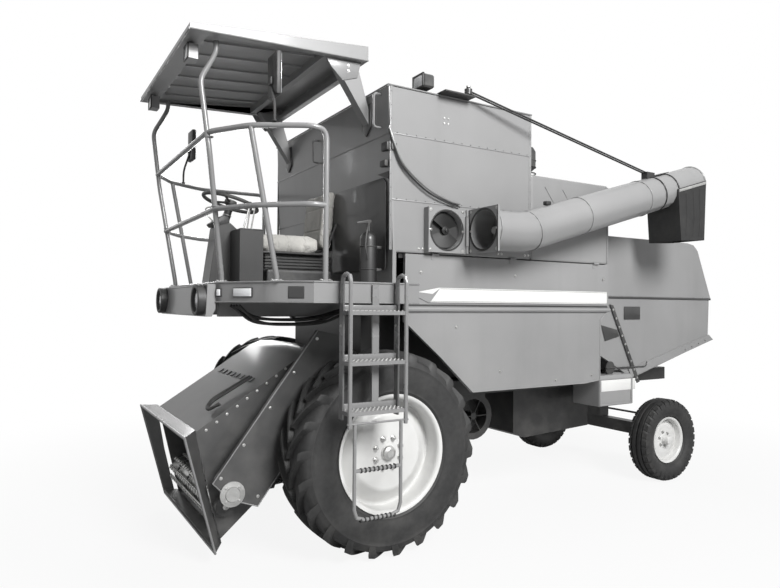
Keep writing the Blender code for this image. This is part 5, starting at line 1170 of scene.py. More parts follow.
@dataclass
class Railing:
    """Smooth bent guard rails and the two tall posts that carry the roof."""

    radius: float = 0.0175
    foot: float = 1.8573
    top: float = 2.815
    middle: float = 2.32996
    roof: float = 3.4424

    def post(self, side: int) -> list[Vector]:
        """The bent post from the deck's front corner up to the roof."""
        line = [(1.03, 0.68, self.foot), (1.03, 0.68, self.foot + 0.03), (1.15, 0.785, self.top - 0.115),
                (1.21, 0.77, self.top + 0.345), (1.12, 0.74, self.roof - 0.115),
                (1.10, 0.73, self.roof - 0.065), (1.10, 0.73, self.roof)]
        return rounded([(x, side * y, z) for x, y, z in line], 0.05)

    def left(self) -> None:
        """Front and left rails with their posts."""
        piece = Piece("left_guard_rails")
        plan = [(1.165, 0.80), (0.98, 1.10), (0.66, 1.30)]
        low = [(1.10, 0.753), (0.92, 1.07), (0.66, 1.30)]
        upper = [(1.165, -0.7632, self.top)] + [(x, y, self.top) for x, y in plan] + [
            (0.56, 1.30, self.top - 0.02), (0.56, 1.30, self.foot)]
        lower = [(1.097, -0.7162, self.middle)] + [(x, y, self.middle) for x, y in low]
        lower.append((0.56, 1.30, self.middle))
        for line in (self.post(1), rounded(upper, 0.07), rounded(lower, 0.05),
                     [(0.80, 1.09, self.foot), (0.80, 1.09, self.foot + 0.03), (0.98, 1.09, self.top)]):
            piece.pipe(line, self.radius, 16)
        piece.finish(Finishes.TUBE, "machine", ("rails_left",))

    def right(self) -> None:
        """Right-hand rails with their posts."""
        piece = Piece("right_guard_rails")
        upper = [(1.165, -0.80, self.top), (0.98, -1.10, self.top), (0.66, -1.30, self.top),
                 (0.03, -1.30, self.top), (0.03, -1.30, self.foot)]
        lower = [(1.095, -0.775, self.middle), (0.92, -1.07, self.middle), (0.66, -1.30, self.middle),
                 (0.036, -1.30, self.middle)]
        for line in (self.post(-1), rounded(upper, 0.07), rounded(lower, 0.07),
                     [(0.80, -1.09, self.foot), (0.80, -1.09, self.foot + 0.03), (0.98, -1.09, self.top)]):
            piece.pipe(line, self.radius, 16)
        piece.finish(Finishes.TUBE, "machine", ("rails_right",))

    def feet(self) -> None:
        """Foot plates with bolts, and the clamps where tubes cross."""
        plates = Piece("rail_feet")
        bolts = Piece("rail_foot_bolts")
        spots = [(1.03, 0.68), (0.80, 1.09), (0.56, 1.30), (1.03, -0.68), (0.80, -1.09), (0.03, -1.30)]
        for x, y in spots:
            plates.block((x - 0.038, y - 0.026, self.foot), (x + 0.038, y + 0.026, self.foot + 0.006), 0.002)
            for shift in (-0.028, 0.028):
                hexagon(bolts, (x + shift, y, self.foot + 0.0062), Axis.Z, 0.0070, 0.0062)
        for side in Side:
            hoop(plates, (1.150, side.value * 0.790, self.top - 0.03), Vector((0.1, 0.0, 1.0)),
                 0.0205, 0.004, 24)
            hoop(plates, (1.096, side.value * 0.738, self.middle + 0.02), Vector((0.1, 0.0, 1.0)),
                 0.0205, 0.004, 24)
        plates.finish(Finishes.TUBE, "machine")
        bolts.finish(Finishes.STEEL, "machine")

    def build(self) -> None:
        """Makes all rails."""
        self.left()
        self.right()
        self.feet()


@dataclass
class Roof:
    """Canopy edges, lamps, strut gussets with painted shade at their feet, mirrors and the tank's work lamp.
    """

    front: float = 1.30
    rear: float = 0.02
    half: float = 0.85

    def edges(self) -> None:
        """Folded lips along the roof's edges and the ribs pressed in its top."""
        lips = Piece("canopy_lips")
        lips.pipe([(self.front, -self.half, 3.439), (self.front, self.half, 3.439)], 0.007, 8)
        for side in Side:
            y = side.value * self.half
            lips.pipe([(self.front, y, 3.439), (self.rear, y, 3.494)], 0.006, 8)
        for y in (-0.56, -0.19, 0.19, 0.56):
            lips.pipe([(self.front - 0.06, y, 3.4800), (self.rear + 0.05, y, 3.5960)], 0.006, 8)
        lips.finish(Finishes.BODY, "machine")

    def lamps(self) -> None:
        """Square lamp glasses under the roof's front edge."""
        glass = Piece("roof_lamp_glass")
        shells = Piece("roof_lamp_shells")
        for side in Side:
            y = side.value * 0.62
            glass.block((1.2652, y - 0.043, 3.327), (1.2700, y + 0.043, 3.413), 0.004)
            for low, high in (((1.262, y - 0.053, 3.3185), (1.2725, y - 0.0435, 3.4215)),
                              ((1.262, y + 0.0435, 3.3185), (1.2725, y + 0.053, 3.4215)),
                              ((1.262, y - 0.053, 3.3185), (1.2725, y + 0.053, 3.3265)),
                              ((1.262, y - 0.053, 3.4135), (1.2725, y + 0.053, 3.4215))):
                shells.block(low, high, 0.002)
        glass.finish(Finishes.LENS, "machine")
        shells.finish(Finishes.PLASTIC, "machine")

    def struts(self) -> None:
        """Gusset tabs at the struts' tops, and dark plates at their feet as painted shade of the pockets
        there.
        """
        tabs = Piece("strut_gussets")
        pocket_shade = Piece("strut_pocket_shade")
        bolts = Piece("strut_bolts")
        for side in Side:
            y = side.value * 0.806
            low, high = span(side, 0.8004, 0.808)
            tabs.plate([(0.335, 3.4700), (0.060, 3.4800), (0.085, 3.3700), (0.205, 3.3300), (0.300, 3.4150)],
                       Axis.Y, low, high, 0.002)
            inner, outer = span(side, 0.690, 0.830)
            # Dark plates at the struts' feet: painted shade of the pockets in the tank's front wall.
            pocket_shade.plate([(inner, 3.195), (outer, 3.195), (outer, 3.020), ((inner + outer) / 2, 2.960),
                           (inner, 3.020)],
                          Axis.X, -0.0240, -0.0130, 0.002)
            for z in (3.405, 3.445):
                hexagon(bolts, (0.16, side.value * 0.8082, z), Axis.Y, 0.008, side.value * 0.007)
        tabs.finish(Finishes.BODY, "machine")
        pocket_shade.finish(Finishes.PANEL_DARK, "machine")
        bolts.finish(Finishes.STEEL, "machine")

    def mirrors(self) -> None:
        """Glass on the mirrors' rear faces, dark shells and their clamps."""
        glass = Piece("mirror_faces")
        shells = Piece("mirror_shells")
        for side in Side:
            low, high = span(side, 0.98, 1.14)
            glass.block((0.7955, low + 0.010, 3.040), (0.7996, high - 0.010, 3.290), 0.001)
            shells.block((0.7990, low - 0.003, 3.027), (0.8345, high + 0.003, 3.303), 0.010)
            shells.block((0.836, side.value * 1.06 - 0.022, 3.100),
                         (0.852, side.value * 1.06 + 0.022, 3.150), 0.004)
            hoop(shells, (0.86, side.value * 1.185, 2.840), Vector((0, 0, 1)), 0.012, 0.005, 20)
        glass.finish(Finishes.MIRROR, "machine")
        shells.finish(Finishes.PLASTIC, "machine")

    def work_lamp(self) -> None:
        """The glass and rim of the lamp on the tank's edge."""
        glass = Piece("work_lamp_glass")
        glass.block((-0.3296, 0.925, 3.3250), (-0.3245, 1.045, 3.4050), 0.004)
        glass.finish(Finishes.LENS, "machine")
        rim = Piece("work_lamp_rim")
        for low, high in (((-0.335, 0.912, 3.312), (-0.3215, 0.9245, 3.4180)),
                          ((-0.335, 1.0455, 3.312), (-0.3215, 1.0580, 3.4180)),
                          ((-0.335, 0.912, 3.312), (-0.3215, 1.0580, 3.3245)),
                          ((-0.335, 0.912, 3.4055), (-0.3215, 1.0580, 3.4180))):
            rim.block(low, high, 0.002)
        rim.finish(Finishes.PLASTIC, "machine")

    def build(self) -> None:
        """Makes everything round the roof."""
        self.edges()
        self.lamps()
        self.struts()
        self.mirrors()
        self.work_lamp()


@dataclass
class Tank:
    """Folded seams, rivets, handles, latch and painted shade of the recess on the grain tank."""

    half: float = 1.08
    front_top: float = -0.015
    rear: float = -1.37

    def front(self, z: float) -> float:
        """The sloping front wall's X at this height, just proud of the sheet."""
        return -0.06 + (z - 2.083) / (3.265 - 2.083) * 0.045 + 0.0004

    def seams(self) -> None:
        """Lapped seams along both sides and across the front, and the rolled upper edge."""
        piece = Piece("tank_seams")
        for z in (2.922, 2.455):
            for side in Side:
                low, high = span(side, self.half + 0.0003, self.half + 0.0040)
                piece.block((self.rear + 0.004, low, z - 0.004),
                            (self.front(z) - 0.004, high, z + 0.004), 0.001)
            piece.block((self.front(z), -self.half, z - 0.004),
                        (self.front(z) + 0.0035, self.half, z + 0.004), 0.001)
        for side in Side:
            y = side.value * (self.half + 0.0015)
            piece.pipe([(self.rear, y, 3.262), (self.front_top, y, 3.262)], 0.006, 8)
            low, high = span(side, self.half + 0.0003, self.half + 0.0030)
            piece.block((-0.052, low, 2.100), (-0.030, high, 3.256), 0.001)
            piece.block((self.rear + 0.004, low, 2.100), (self.rear + 0.026, high, 3.256), 0.001)
        piece.pipe([(self.front_top + 0.001, -self.half, 3.262), (self.front_top + 0.001, self.half, 3.262)],
                   0.006, 8)
        piece.finish(Finishes.BODY, "machine")
        rivets = Piece("tank_rivets")
        for side in Side:
            y = side.value * (self.half + 0.0042)
            for z in (2.931, 2.464):
                rivet_row(rivets, (self.rear + 0.05, y, z), (-0.09, y, z), Axis.Y, 16, 0.0055, side.value)
            rivet_row(rivets, (self.rear + 0.015, y, 2.15), (self.rear + 0.015, y, 3.22), Axis.Y, 12,
                      0.0055, side.value)
            rivet_row(rivets, (-0.041, y, 2.15), (-0.041, y, 3.22), Axis.Y, 12, 0.0055, side.value)
        rivets.finish(Finishes.BODY, "machine")

    def fittings(self) -> None:
        """Handles on the front wall, the corner latch with its clip, hooks, and paired bolts below."""
        grips = Piece("tank_handles")
        grips.pipe(rounded([(-0.020, -0.10, 2.93), (0.030, -0.10, 2.93), (0.030, -0.10, 3.12),
                            (-0.018, -0.10, 3.12)], 0.035),
                   0.008, 10)
        grips.pipe(rounded([(-0.020, 0.97, 2.98), (0.040, 0.97, 2.98), (0.040, 0.97, 3.22),
                            (-0.016, 0.97, 3.22)], 0.03),
                   0.009, 10)
        grips.finish(Finishes.TUBE, "machine")
        latch = Piece("tank_corner_latch")
        latch.block((-0.0300, 1.000, 2.800), (-0.0050, 1.083, 2.860), 0.005)
        latch.block((-0.0330, 0.985, 2.690), (-0.0020, 1.060, 2.735), 0.006)
        latch.block((-0.080, 1.0845, 2.800), (-0.035, 1.0980, 2.852), 0.004)
        latch.plate([(0.90, 2.655), (1.06, 2.655), (1.06, 2.600)], Axis.X, self.front(2.63),
                    self.front(2.63) + 0.006, 0.001)
        latch.finish(Finishes.PLASTIC, "machine")
        bolts = Piece("tank_side_bolts")
        for x in (-0.28, -0.62, -1.02, -1.30):
            for shift in (0.0, 0.036):
                for side in Side:
                    seat = (x - shift, side.value * (self.half + 0.0006), 2.118)
                    hexagon(bolts, seat, Axis.Y, 0.0075, side.value * 0.0065)
        for z in (3.060, 3.098):
            for x in (-0.500, -0.536):
                hexagon(bolts, (x, self.half + 0.0006, z), Axis.Y, 0.0065, 0.0055)
        bolts.finish(Finishes.STEEL, "machine")

    def recess(self) -> None:
        """A dark rounded panel behind the extinguisher as painted shade of the recess there, with the
        bottle's bands and head.
        """
        panel = Piece("tank_recess_shade")
        # Painted shade: a dark sheet where the recess behind the extinguisher lies in shade.
        panel.plate([(0.20, 1.960), (1.015, 1.960), (1.030, 1.990), (1.030, 2.580),
                     (0.990, 2.620), (0.240, 2.620),
                     (0.170, 2.550), (0.170, 1.990)], Axis.X, -0.0370, -0.0300, 0.002)
        panel.finish(Finishes.PANEL_DARK, "machine")
        bands = Piece("extinguisher_bands")
        for z in (1.960, 2.120):
            hoop(bands, (0.08, 0.98, z), Vector((0, 0, 1)), 0.0620, 0.0035, 32)
            bands.block((-0.028, 0.972, z - 0.010), (0.019, 0.988, z + 0.010), 0.002)
        bands.bar((0.08, 0.98, 2.2660), (0.08, 0.98, 2.2900), 0.012, 14, 0.002)
        bands.plate([(0.060, 2.290), (0.175, 2.276), (0.178, 2.288), (0.075, 2.312), (0.060, 2.308)], Axis.Y,
                    0.972, 0.988, 0.001)
        bands.pipe(sagging([(0.085, 0.99, 2.280), (0.120, 1.035, 2.230), (0.140, 1.050, 2.120),
                            (0.120, 1.048, 2.030)]), 0.006, 8)
        bands.finish(Finishes.PLASTIC, "machine")
        body = Piece("extinguisher_bottle")
        body.turned([(0.0, 0.0), (0.052, 0.0), (0.0600, 0.010), (0.0605, 0.020), (0.0605, 0.312),
                     (0.0560, 0.335),
                     (0.0440, 0.354), (0.0260, 0.366), (0.0180, 0.372), (0.0180, 0.408), (0.0, 0.408)],
                    (0.08, 0.98, 1.8574), Axis.Z, 40)
        body.finish(Finishes.CHASSIS, "machine", ("extinguisher",))

    def build(self) -> None:
        """Makes everything on the tank."""
        self.seams()
        self.fittings()
        self.recess()


@dataclass
class EngineTop:
    """Ribs of the air intake, and the edge folds, rivets and slots of the engine housing."""

    face: float = 1.0803
    rear: float = -2.284

    def build(self) -> None:
        """Makes the intake's ribs and the housing's folds."""
        ribs = Piece("intake_ribs")
        low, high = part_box("air_cleaner")
        x, y = (low[0] + high[0]) / 2 - AXLE.x, (low[1] + high[1]) / 2 - AXLE.y
        radius = min(high[0] - low[0], high[1] - low[1]) / 2
        for share in (0.35, 0.50, 0.65):
            hoop(ribs, (x, y, low[2] + (high[2] - low[2]) * share), Vector((0, 0, 1)),
                 radius * 0.985, 0.006, 40)
        ribs.finish(Finishes.PLASTIC, "machine")
        folds = Piece("engine_housing_folds")
        for side in Side:
            bottom, top = span(side, self.face, self.face + 0.0037)
            folds.block((self.rear, bottom, 2.094), (-2.262, top, 2.762), 0.001)
            folds.block((self.rear, bottom, 2.448), (-1.380, top, 2.456), 0.001)
            rivet = side.value * (self.face + 0.0039)
            rivet_row(folds, (-2.273, rivet, 2.14), (-2.273, rivet, 2.73), Axis.Y, 8, 0.0055, side.value)
            for start in (-1.52, -1.72):
                folds.plate([(start, 2.690), (start - 0.014, 2.690), (start - 0.150, 2.520),
                             (start - 0.136, 2.520)],
                            Axis.Y, bottom, top)
        folds.finish(Finishes.BODY, "machine")


@dataclass
class SidePanel:
    """The white stripe, a painted shadow under the rail lip, thin dark lines on the stripe, and the grab edge
    of one side shield.
    """

    side: Side
    half: float = 1.08

    def band(self, low: float, high: float) -> Pair:
        """The Y span of something this far proud of the body's side."""
        return span(self.side, self.half + low, self.half + high)

    def build(self) -> None:
        """Makes the stripe with its slanted start, the painted shadow below it, the dark lines on it and the
        panel's fasteners.
        """
        body = f"shield_{self.side.word}"
        stripe = Piece(f"white_stripe_{self.side.word}")
        stripe.plate([(-0.470, 1.8405), (-2.262, 1.8405), (-2.262, 1.7345), (-0.380, 1.7345)], Axis.Y,
                     *self.band(0.0063, 0.0078))
        stripe.plate([(-0.265, 1.8060), (-0.455, 1.8405), (-0.470, 1.8405), (-0.400, 1.7950)], Axis.Y,
                     *self.band(0.0063, 0.0078))
        stripe.finish(Finishes.STRIPE, body)
        # A dark strip under the rail lip is painted shadow; two thin dark lines run along the stripe.
        shadow = Piece(f"panel_shadow_and_stripe_lines_{self.side.word}")
        near, far = self.band(0.0004, 0.0030)
        shadow.block((-2.275, near, 1.7055), (-0.180, far, 1.7190), 0.0006)
        near, far = self.band(0.0079, 0.0084)
        shadow.block((-2.262, near, 1.8320), (-0.470, far, 1.8345))
        shadow.block((-2.262, near, 1.7400), (-0.385, far, 1.7425))
        shadow.finish(Finishes.PANEL_DARK, body)
        bolts = Piece(f"panel_fasteners_{self.side.word}")
        y = self.side.value * 1.0806
        for x, z in ((-0.62, 1.55), (-1.05, 1.20), (-1.65, 1.10), (-2.08, 1.12), (-2.22, 1.95),
                     (-0.30, 1.95), (-1.20, 1.95)):
            hexagon(bolts, (x, y, z), Axis.Y, 0.0085, self.side.value * 0.007)
        bolts.finish(Finishes.STEEL, body)
        edge = Piece(f"panel_edge_{self.side.word}")
        line = [(-0.172, 1.590), (-0.476, 1.334), (-0.778, 1.057), (-1.995, 1.057), (-2.180, 1.075),
                (-2.186, 1.600), (-2.284, 1.680)]
        edge.pipe([(x, self.side.value * 1.0815, z) for x, z in line], 0.0050, 8)
        edge.finish(Finishes.BODY, body)


@dataclass
class Hood:
    """Dark seam, punched strut, latch rod, deflector and bare plates of the straw hood."""

    half: float = 0.95

    def build(self) -> None:
        """Dresses both sides and the tail of the hood."""
        dark = Piece("hood_dark_parts")
        light = Piece("hood_seam_lips")
        studs = Piece("hood_studs")
        for side in Side:
            near, far = span(side, self.half + 0.0003, self.half + 0.0035)
            dark.block((-3.985, near, 1.7880), (-2.300, far, 1.8050), 0.0008)
            light.block((-3.985, near, 1.8080), (-2.300, far + 0.0008 * side.value, 1.8135), 0.0008)
            low, high = span(side, self.half + 0.004, self.half + 0.012)
            dark.plate([(-2.455, 1.735), (-2.500, 1.725), (-2.870, 1.010), (-2.830, 0.998)], Axis.Y,
                       low, high, 0.001)
            out = side.value * (self.half + 0.0122)
            for index in range(9):
                share = (index + 0.5) / 9
                seat = (-2.478 - share * 0.372, out, 1.725 - share * 0.718)
                hexagon(studs, seat, Axis.Y, 0.0085, side.value * 0.005)
            dark.plate([(-2.350, 1.545), (-2.560, 1.500), (-2.590, 1.440), (-2.400, 1.400)], Axis.Y,
                       *span(side, self.half + 0.0005, self.half + 0.0040), 0.001)
            y = side.value * (self.half + 0.016)
            dark.pipe(rounded([(-2.400, y, 1.155), (-2.950, y, 1.150), (-2.975, y, 1.195)], 0.03), 0.006, 10)
            dark.turned([(0.0, 0.0), (0.052, 0.0), (0.060, 0.004), (0.060, 0.010), (0.0, 0.010)],
                        (-2.46, side.value * (self.half + 0.001), 1.155), Axis.Y, 28, side.value)
            dark.block((-2.885, near, 1.5950), (-2.660, far, 1.7150), 0.001)
        light.block((-4.0160, -0.948, 1.808), (-4.0110, 0.948, 1.8135), 0.0008)
        dark.block((-4.0160, -0.948, 1.788), (-4.0110, 0.948, 1.8045), 0.0008)
        dark.finish(Finishes.PANEL_DARK, "machine")
        light.finish(Finishes.TUBE, "machine")
        studs.finish(Finishes.STEEL, "machine")
        plates = Piece("bare_light_plates")
        plates.block((-2.288, 0.9505, 1.742), (-2.292, 0.9520, 1.846))
        plates.block((-2.700, 1.0403, 0.960), (-2.240, 1.0425, 1.060), 0.0008)
        plates.finish(Finishes.STRIPE, "machine")
        frame_bars = Piece("battery_box_frame")
        for low, high in (((-2.658, 1.0403, 0.835), (-2.224, 1.0480, 0.850)),
                          ((-2.658, 1.0403, 1.062), (-2.224, 1.0480, 1.072)),
                          ((-2.658, 1.0403, 0.850), (-2.640, 1.0480, 1.062)),
                          ((-2.242, 1.0403, 0.850), (-2.224, 1.0480, 1.062))):
            frame_bars.block(low, high, 0.002)
        frame_bars.finish(Finishes.BODY, "machine")


@dataclass
class LadderDress:
    """Toothed tread tops, light back plates and bolts."""

    inner: float = 1.3303
    outer: float = 1.47
    front: float = 0.47
    rear: float = 0.07
    treads: tuple[float, ...] = (1.66, 1.35, 1.045)

    def build(self) -> None:
        """Makes the treads' teeth, the plates behind them and the stiles' bolts."""
        teeth = Piece("tread_teeth")
        for z in self.treads:
            for row in range(3):
                y = self.inner + 0.040 + row * 0.042
                for index in range(13):
                    x = self.rear + 0.020 + index * (self.front - self.rear - 0.040) / 12
                    teeth.bar((x, y, z + 0.0110), (x, y, z + 0.0180), 0.0080, 6, 0.0, 0.0035)
        teeth.finish(Finishes.STEEL, "machine")
        plates = Piece("tread_back_plates")
        for z in self.treads:
            plates.block((self.rear + 0.008, self.inner + 0.0305, z + 0.014),
                         (self.front - 0.008, self.inner + 0.0340, z + 0.048), 0.001)
        plates.finish(Finishes.TUBE, "machine")
        bolts = Piece("ladder_bolts")
        for x in (self.rear, self.front):
            for z in (1.79, 1.58):
                hexagon(bolts, (x + 0.0062, self.inner + 0.022, z), Axis.X, 0.0075, 0.006)
        bolts.finish(Finishes.STEEL, "machine")
        pads = Piece("stirrup_grips")
        for z in (0.700, 0.400):
            for index in range(9):
                x = 0.150 + index * 0.030
                pads.turned([(0.0125, -0.006), (0.0160, -0.004), (0.0160, 0.004), (0.0125, 0.006)],
                            (x, 1.47, z), Axis.X, 14)
        pads.finish(Finishes.HOSE, "stirrup")


@dataclass
class Auger:
    """Flanges with bolts, inner flight, seams, saddle, boot fixing, work hose and stay ends."""

    hinge_x: float = -0.67
    face: float = 1.139
    axis_y: float = 1.3275
    axis_z: float = 2.26
    elbow_x: float = -1.04
    end: Pair = (-3.10, 2.8506)
    radius: float = 0.150
    throat_x: float = -0.4875

    def height(self, x: float) -> float:
        """The rising tube's axis height at this X."""
        return self.axis_z + (self.elbow_x - x) * (self.end[1] - self.axis_z) / (self.elbow_x - self.end[0])

    def way(self) -> Vector:
        """The rising tube's direction, towards its end."""
        return Vector((self.end[0] - self.elbow_x, 0.0, self.end[1] - self.axis_z)).normalized()

    def mouth(self) -> None:
        """The fixed flange's bolts, throat ring, painted shade inside the throat and the cross auger's end
        with its nut.
        """
        bolts = Piece("outlet_bolts")
        for x in (-0.632, -0.343):
            for z in (2.113, 2.258, 2.402):
                hexagon(bolts, (x, self.face + 0.0003, z), Axis.Y, 0.0095, 0.0026)
        bolts.finish(Finishes.STEEL, "machine")
        ring = Piece("outlet_throat_ring")
        ring.turned([(0.1402, 0.0002), (0.1402, 0.0018), (0.1440, 0.0026), (0.1500, 0.0026), (0.1530, 0.0018),
                     (0.1530, 0.0002)],
                    (self.throat_x, self.face, self.axis_z), Axis.Y, 56)
        ring.finish(Finishes.CHASSIS, "machine")
        # A dark disc at the throat's floor: painted shade inside the outlet.
        dark = Piece("outlet_throat_shade")
        dark.turned([(0.0, 0.0), (0.1380, 0.0), (0.1380, 0.0030), (0.0, 0.0030)],
                    (self.throat_x, 1.0868, self.axis_z), Axis.Y, 48)
        dark.finish(Finishes.PANEL_DARK, "machine")
        flight = Piece("cross_auger_end")
        flight.turned([(0.0, 0.0), (0.030, 0.0), (0.030, 0.030), (0.022, 0.036), (0.0, 0.036)],
                      (self.throat_x, 1.0900, self.axis_z), Axis.Y, 28)
        for start in (0.35, 0.35 + math.pi):
            shape = bmesh.new()
            first, last = shape.verts.new((0.031, 0.0, 0.0)), shape.verts.new((0.126, 0.0, 0.0))
            edge = shape.edges.new((first, last))
            bmesh.ops.spin(shape, geom=[first, last, edge], axis=(0, 0, 1), cent=(0, 0, 0),
                           dvec=(0, 0, 0.0022), steps=14,
                           angle=math.radians(128.0))
            bmesh.ops.recalc_face_normals(shape, faces=shape.faces)
            bmesh.ops.solidify(shape, geom=shape.faces[:], thickness=0.003)
            place = Matrix.Translation((self.throat_x, 1.0910, self.axis_z))
            place = place @ Matrix.Rotation(-math.pi / 2, 4, "X")
            flight.add(shape, place @ Matrix.Rotation(start, 4, "Z"))
        hexagon(flight, (self.throat_x, 1.1262, self.axis_z), Axis.Y, 0.015, 0.012)
        flight.finish(Finishes.CHASSIS, "machine")

    def tube(self) -> None:
        """The swinging flange's bolts and rim, ring seams, saddle with gusset, and the end ring."""
        bolts = Piece("tube_flange_bolts")
        for y in (1.182, 1.473):
            for z in (2.113, 2.258, 2.402):
                hexagon(bolts, (self.hinge_x + 0.0003, y, z), Axis.X, 0.0095, 0.0020)
        bolts.finish(Finishes.STEEL, "unloading_auger")
        rim = Piece("tube_flange_face")
        rim.turned([(0.1402, 0.0002), (0.1402, 0.0022), (0.1560, 0.0022), (0.1560, 0.0002)],
                   (self.hinge_x, self.axis_y, self.axis_z), Axis.X, 56)
        for low, high in (((-0.6697, 1.165, 2.0955), (-0.6676, 1.175, 2.4195)),
                          ((-0.6697, 1.480, 2.0955), (-0.6676, 1.490, 2.4195))):
            rim.block(low, high, 0.001)
        rim.finish(Finishes.CHASSIS, "unloading_auger")
        seams = Piece("tube_seams")
        for x in (-1.100, -1.640, -2.360):
            hoop(seams, (x, self.axis_y, self.height(x)), self.way(), self.radius + 0.0008, 0.0035, 56)
        hoop(seams, (self.end[0] + 0.006, self.axis_y, self.end[1] - 0.0017), self.way(),
             self.radius - 0.0005, 0.0060, 56)
        hoop(seams, (-0.720, self.axis_y, self.axis_z), Vector((1, 0, 0)), self.radius + 0.0006, 0.0045, 56)
        seams.finish(Finishes.BODY, "unloading_auger")
        saddle = Piece("tube_saddle")
        for x in (-2.545, -2.715):
            hoop(saddle, (x, self.axis_y, self.height(x)), self.way(), self.radius + 0.0030, 0.0050, 48)
        saddle.plate([(-2.555, self.height(-2.555) + 0.1570), (-2.715, self.height(-2.715) + 0.1570),
                      (-2.715, self.height(-2.715) + 0.1630), (-2.555, self.height(-2.555) + 0.1630)], Axis.Y,
                     self.axis_y - 0.050, self.axis_y + 0.050, 0.001)
        saddle.block((-1.325, self.axis_y - 0.02, self.height(-1.30) + 0.155),
                     (-1.275, self.axis_y + 0.02, self.height(-1.30) + 0.185), 0.004)
        saddle.finish(Finishes.CHASSIS, "unloading_auger")

    def boot(self) -> None:
        """The strips that clamp the rubber boot, with their rivets, and its pressed folds."""
        strip = Piece("boot_strips")
        rivets = Piece("boot_rivets")
        folds = Piece("boot_folds")
        for way in (1, -1):
            y = self.axis_y + way * 0.1622
            low, high = sorted((y + way * 0.0003, y + way * 0.0035))
            strip.plate([(-2.700, self.height(-2.700) - 0.030), (-3.080, self.height(-3.080) - 0.030),
                         (-3.080, self.height(-3.080) - 0.006), (-2.700, self.height(-2.700) - 0.006)],
                        Axis.Y, low, high, 0.0006)
            rivet_row(rivets, (-2.720, y + way * 0.0036, self.height(-2.720) - 0.018),
                      (-3.060, y + way * 0.0036, self.height(-3.060) - 0.018), Axis.Y, 7, 0.0060, way)
            for x in (-2.800, -2.900, -2.990):
                folds.pipe([(x, y, self.height(x) - 0.06), (x - 0.012, y, 2.50), (x + 0.004, y, 2.335)],
                           0.0040, 6)
        strip.finish(Finishes.STEEL, "unloading_auger")
        rivets.finish(Finishes.STEEL, "unloading_auger")
        folds.finish(Finishes.BOOT, "unloading_auger")

    def lines(self) -> None:
        """The light pipe and thin dark hose from the tank's corner to the hinge, and the stays' ends."""
        pipe = Piece("tank_light_pipe")
        route = [(-0.015, 1.0920, 2.965), (-0.060, 1.1000, 2.840), (-0.140, 1.1050, 2.700),
                 (-0.330, 1.1050, 2.560), (-0.520, 1.1000, 2.490), (-0.635, 1.0960, 2.470)]
        pipe.pipe(sagging(route), 0.0090, 10)
        pipe.finish(Finishes.TUBE, "machine")
        hose = Piece("thin_hydraulic_hose")
        hose.pipe(sagging([(x, y + 0.002, z - 0.024) for x, y, z in route]), 0.0055, 10)
        hose.finish(Finishes.HOSE, "machine")
        ends = Piece("stay_pivot_cap")
        ends.turned([(0.0, 0.0), (0.018, 0.0), (0.018, 0.008), (0.010, 0.014), (0.0, 0.014)],
                    (self.hinge_x, 1.145, 3.3405), Axis.Z, 24)
        ends.finish(Finishes.STEEL, "machine")

    def build(self) -> None:
        """Makes everything on the unloading auger."""
        self.mouth()
        self.tube()
        self.boot()
        self.lines()


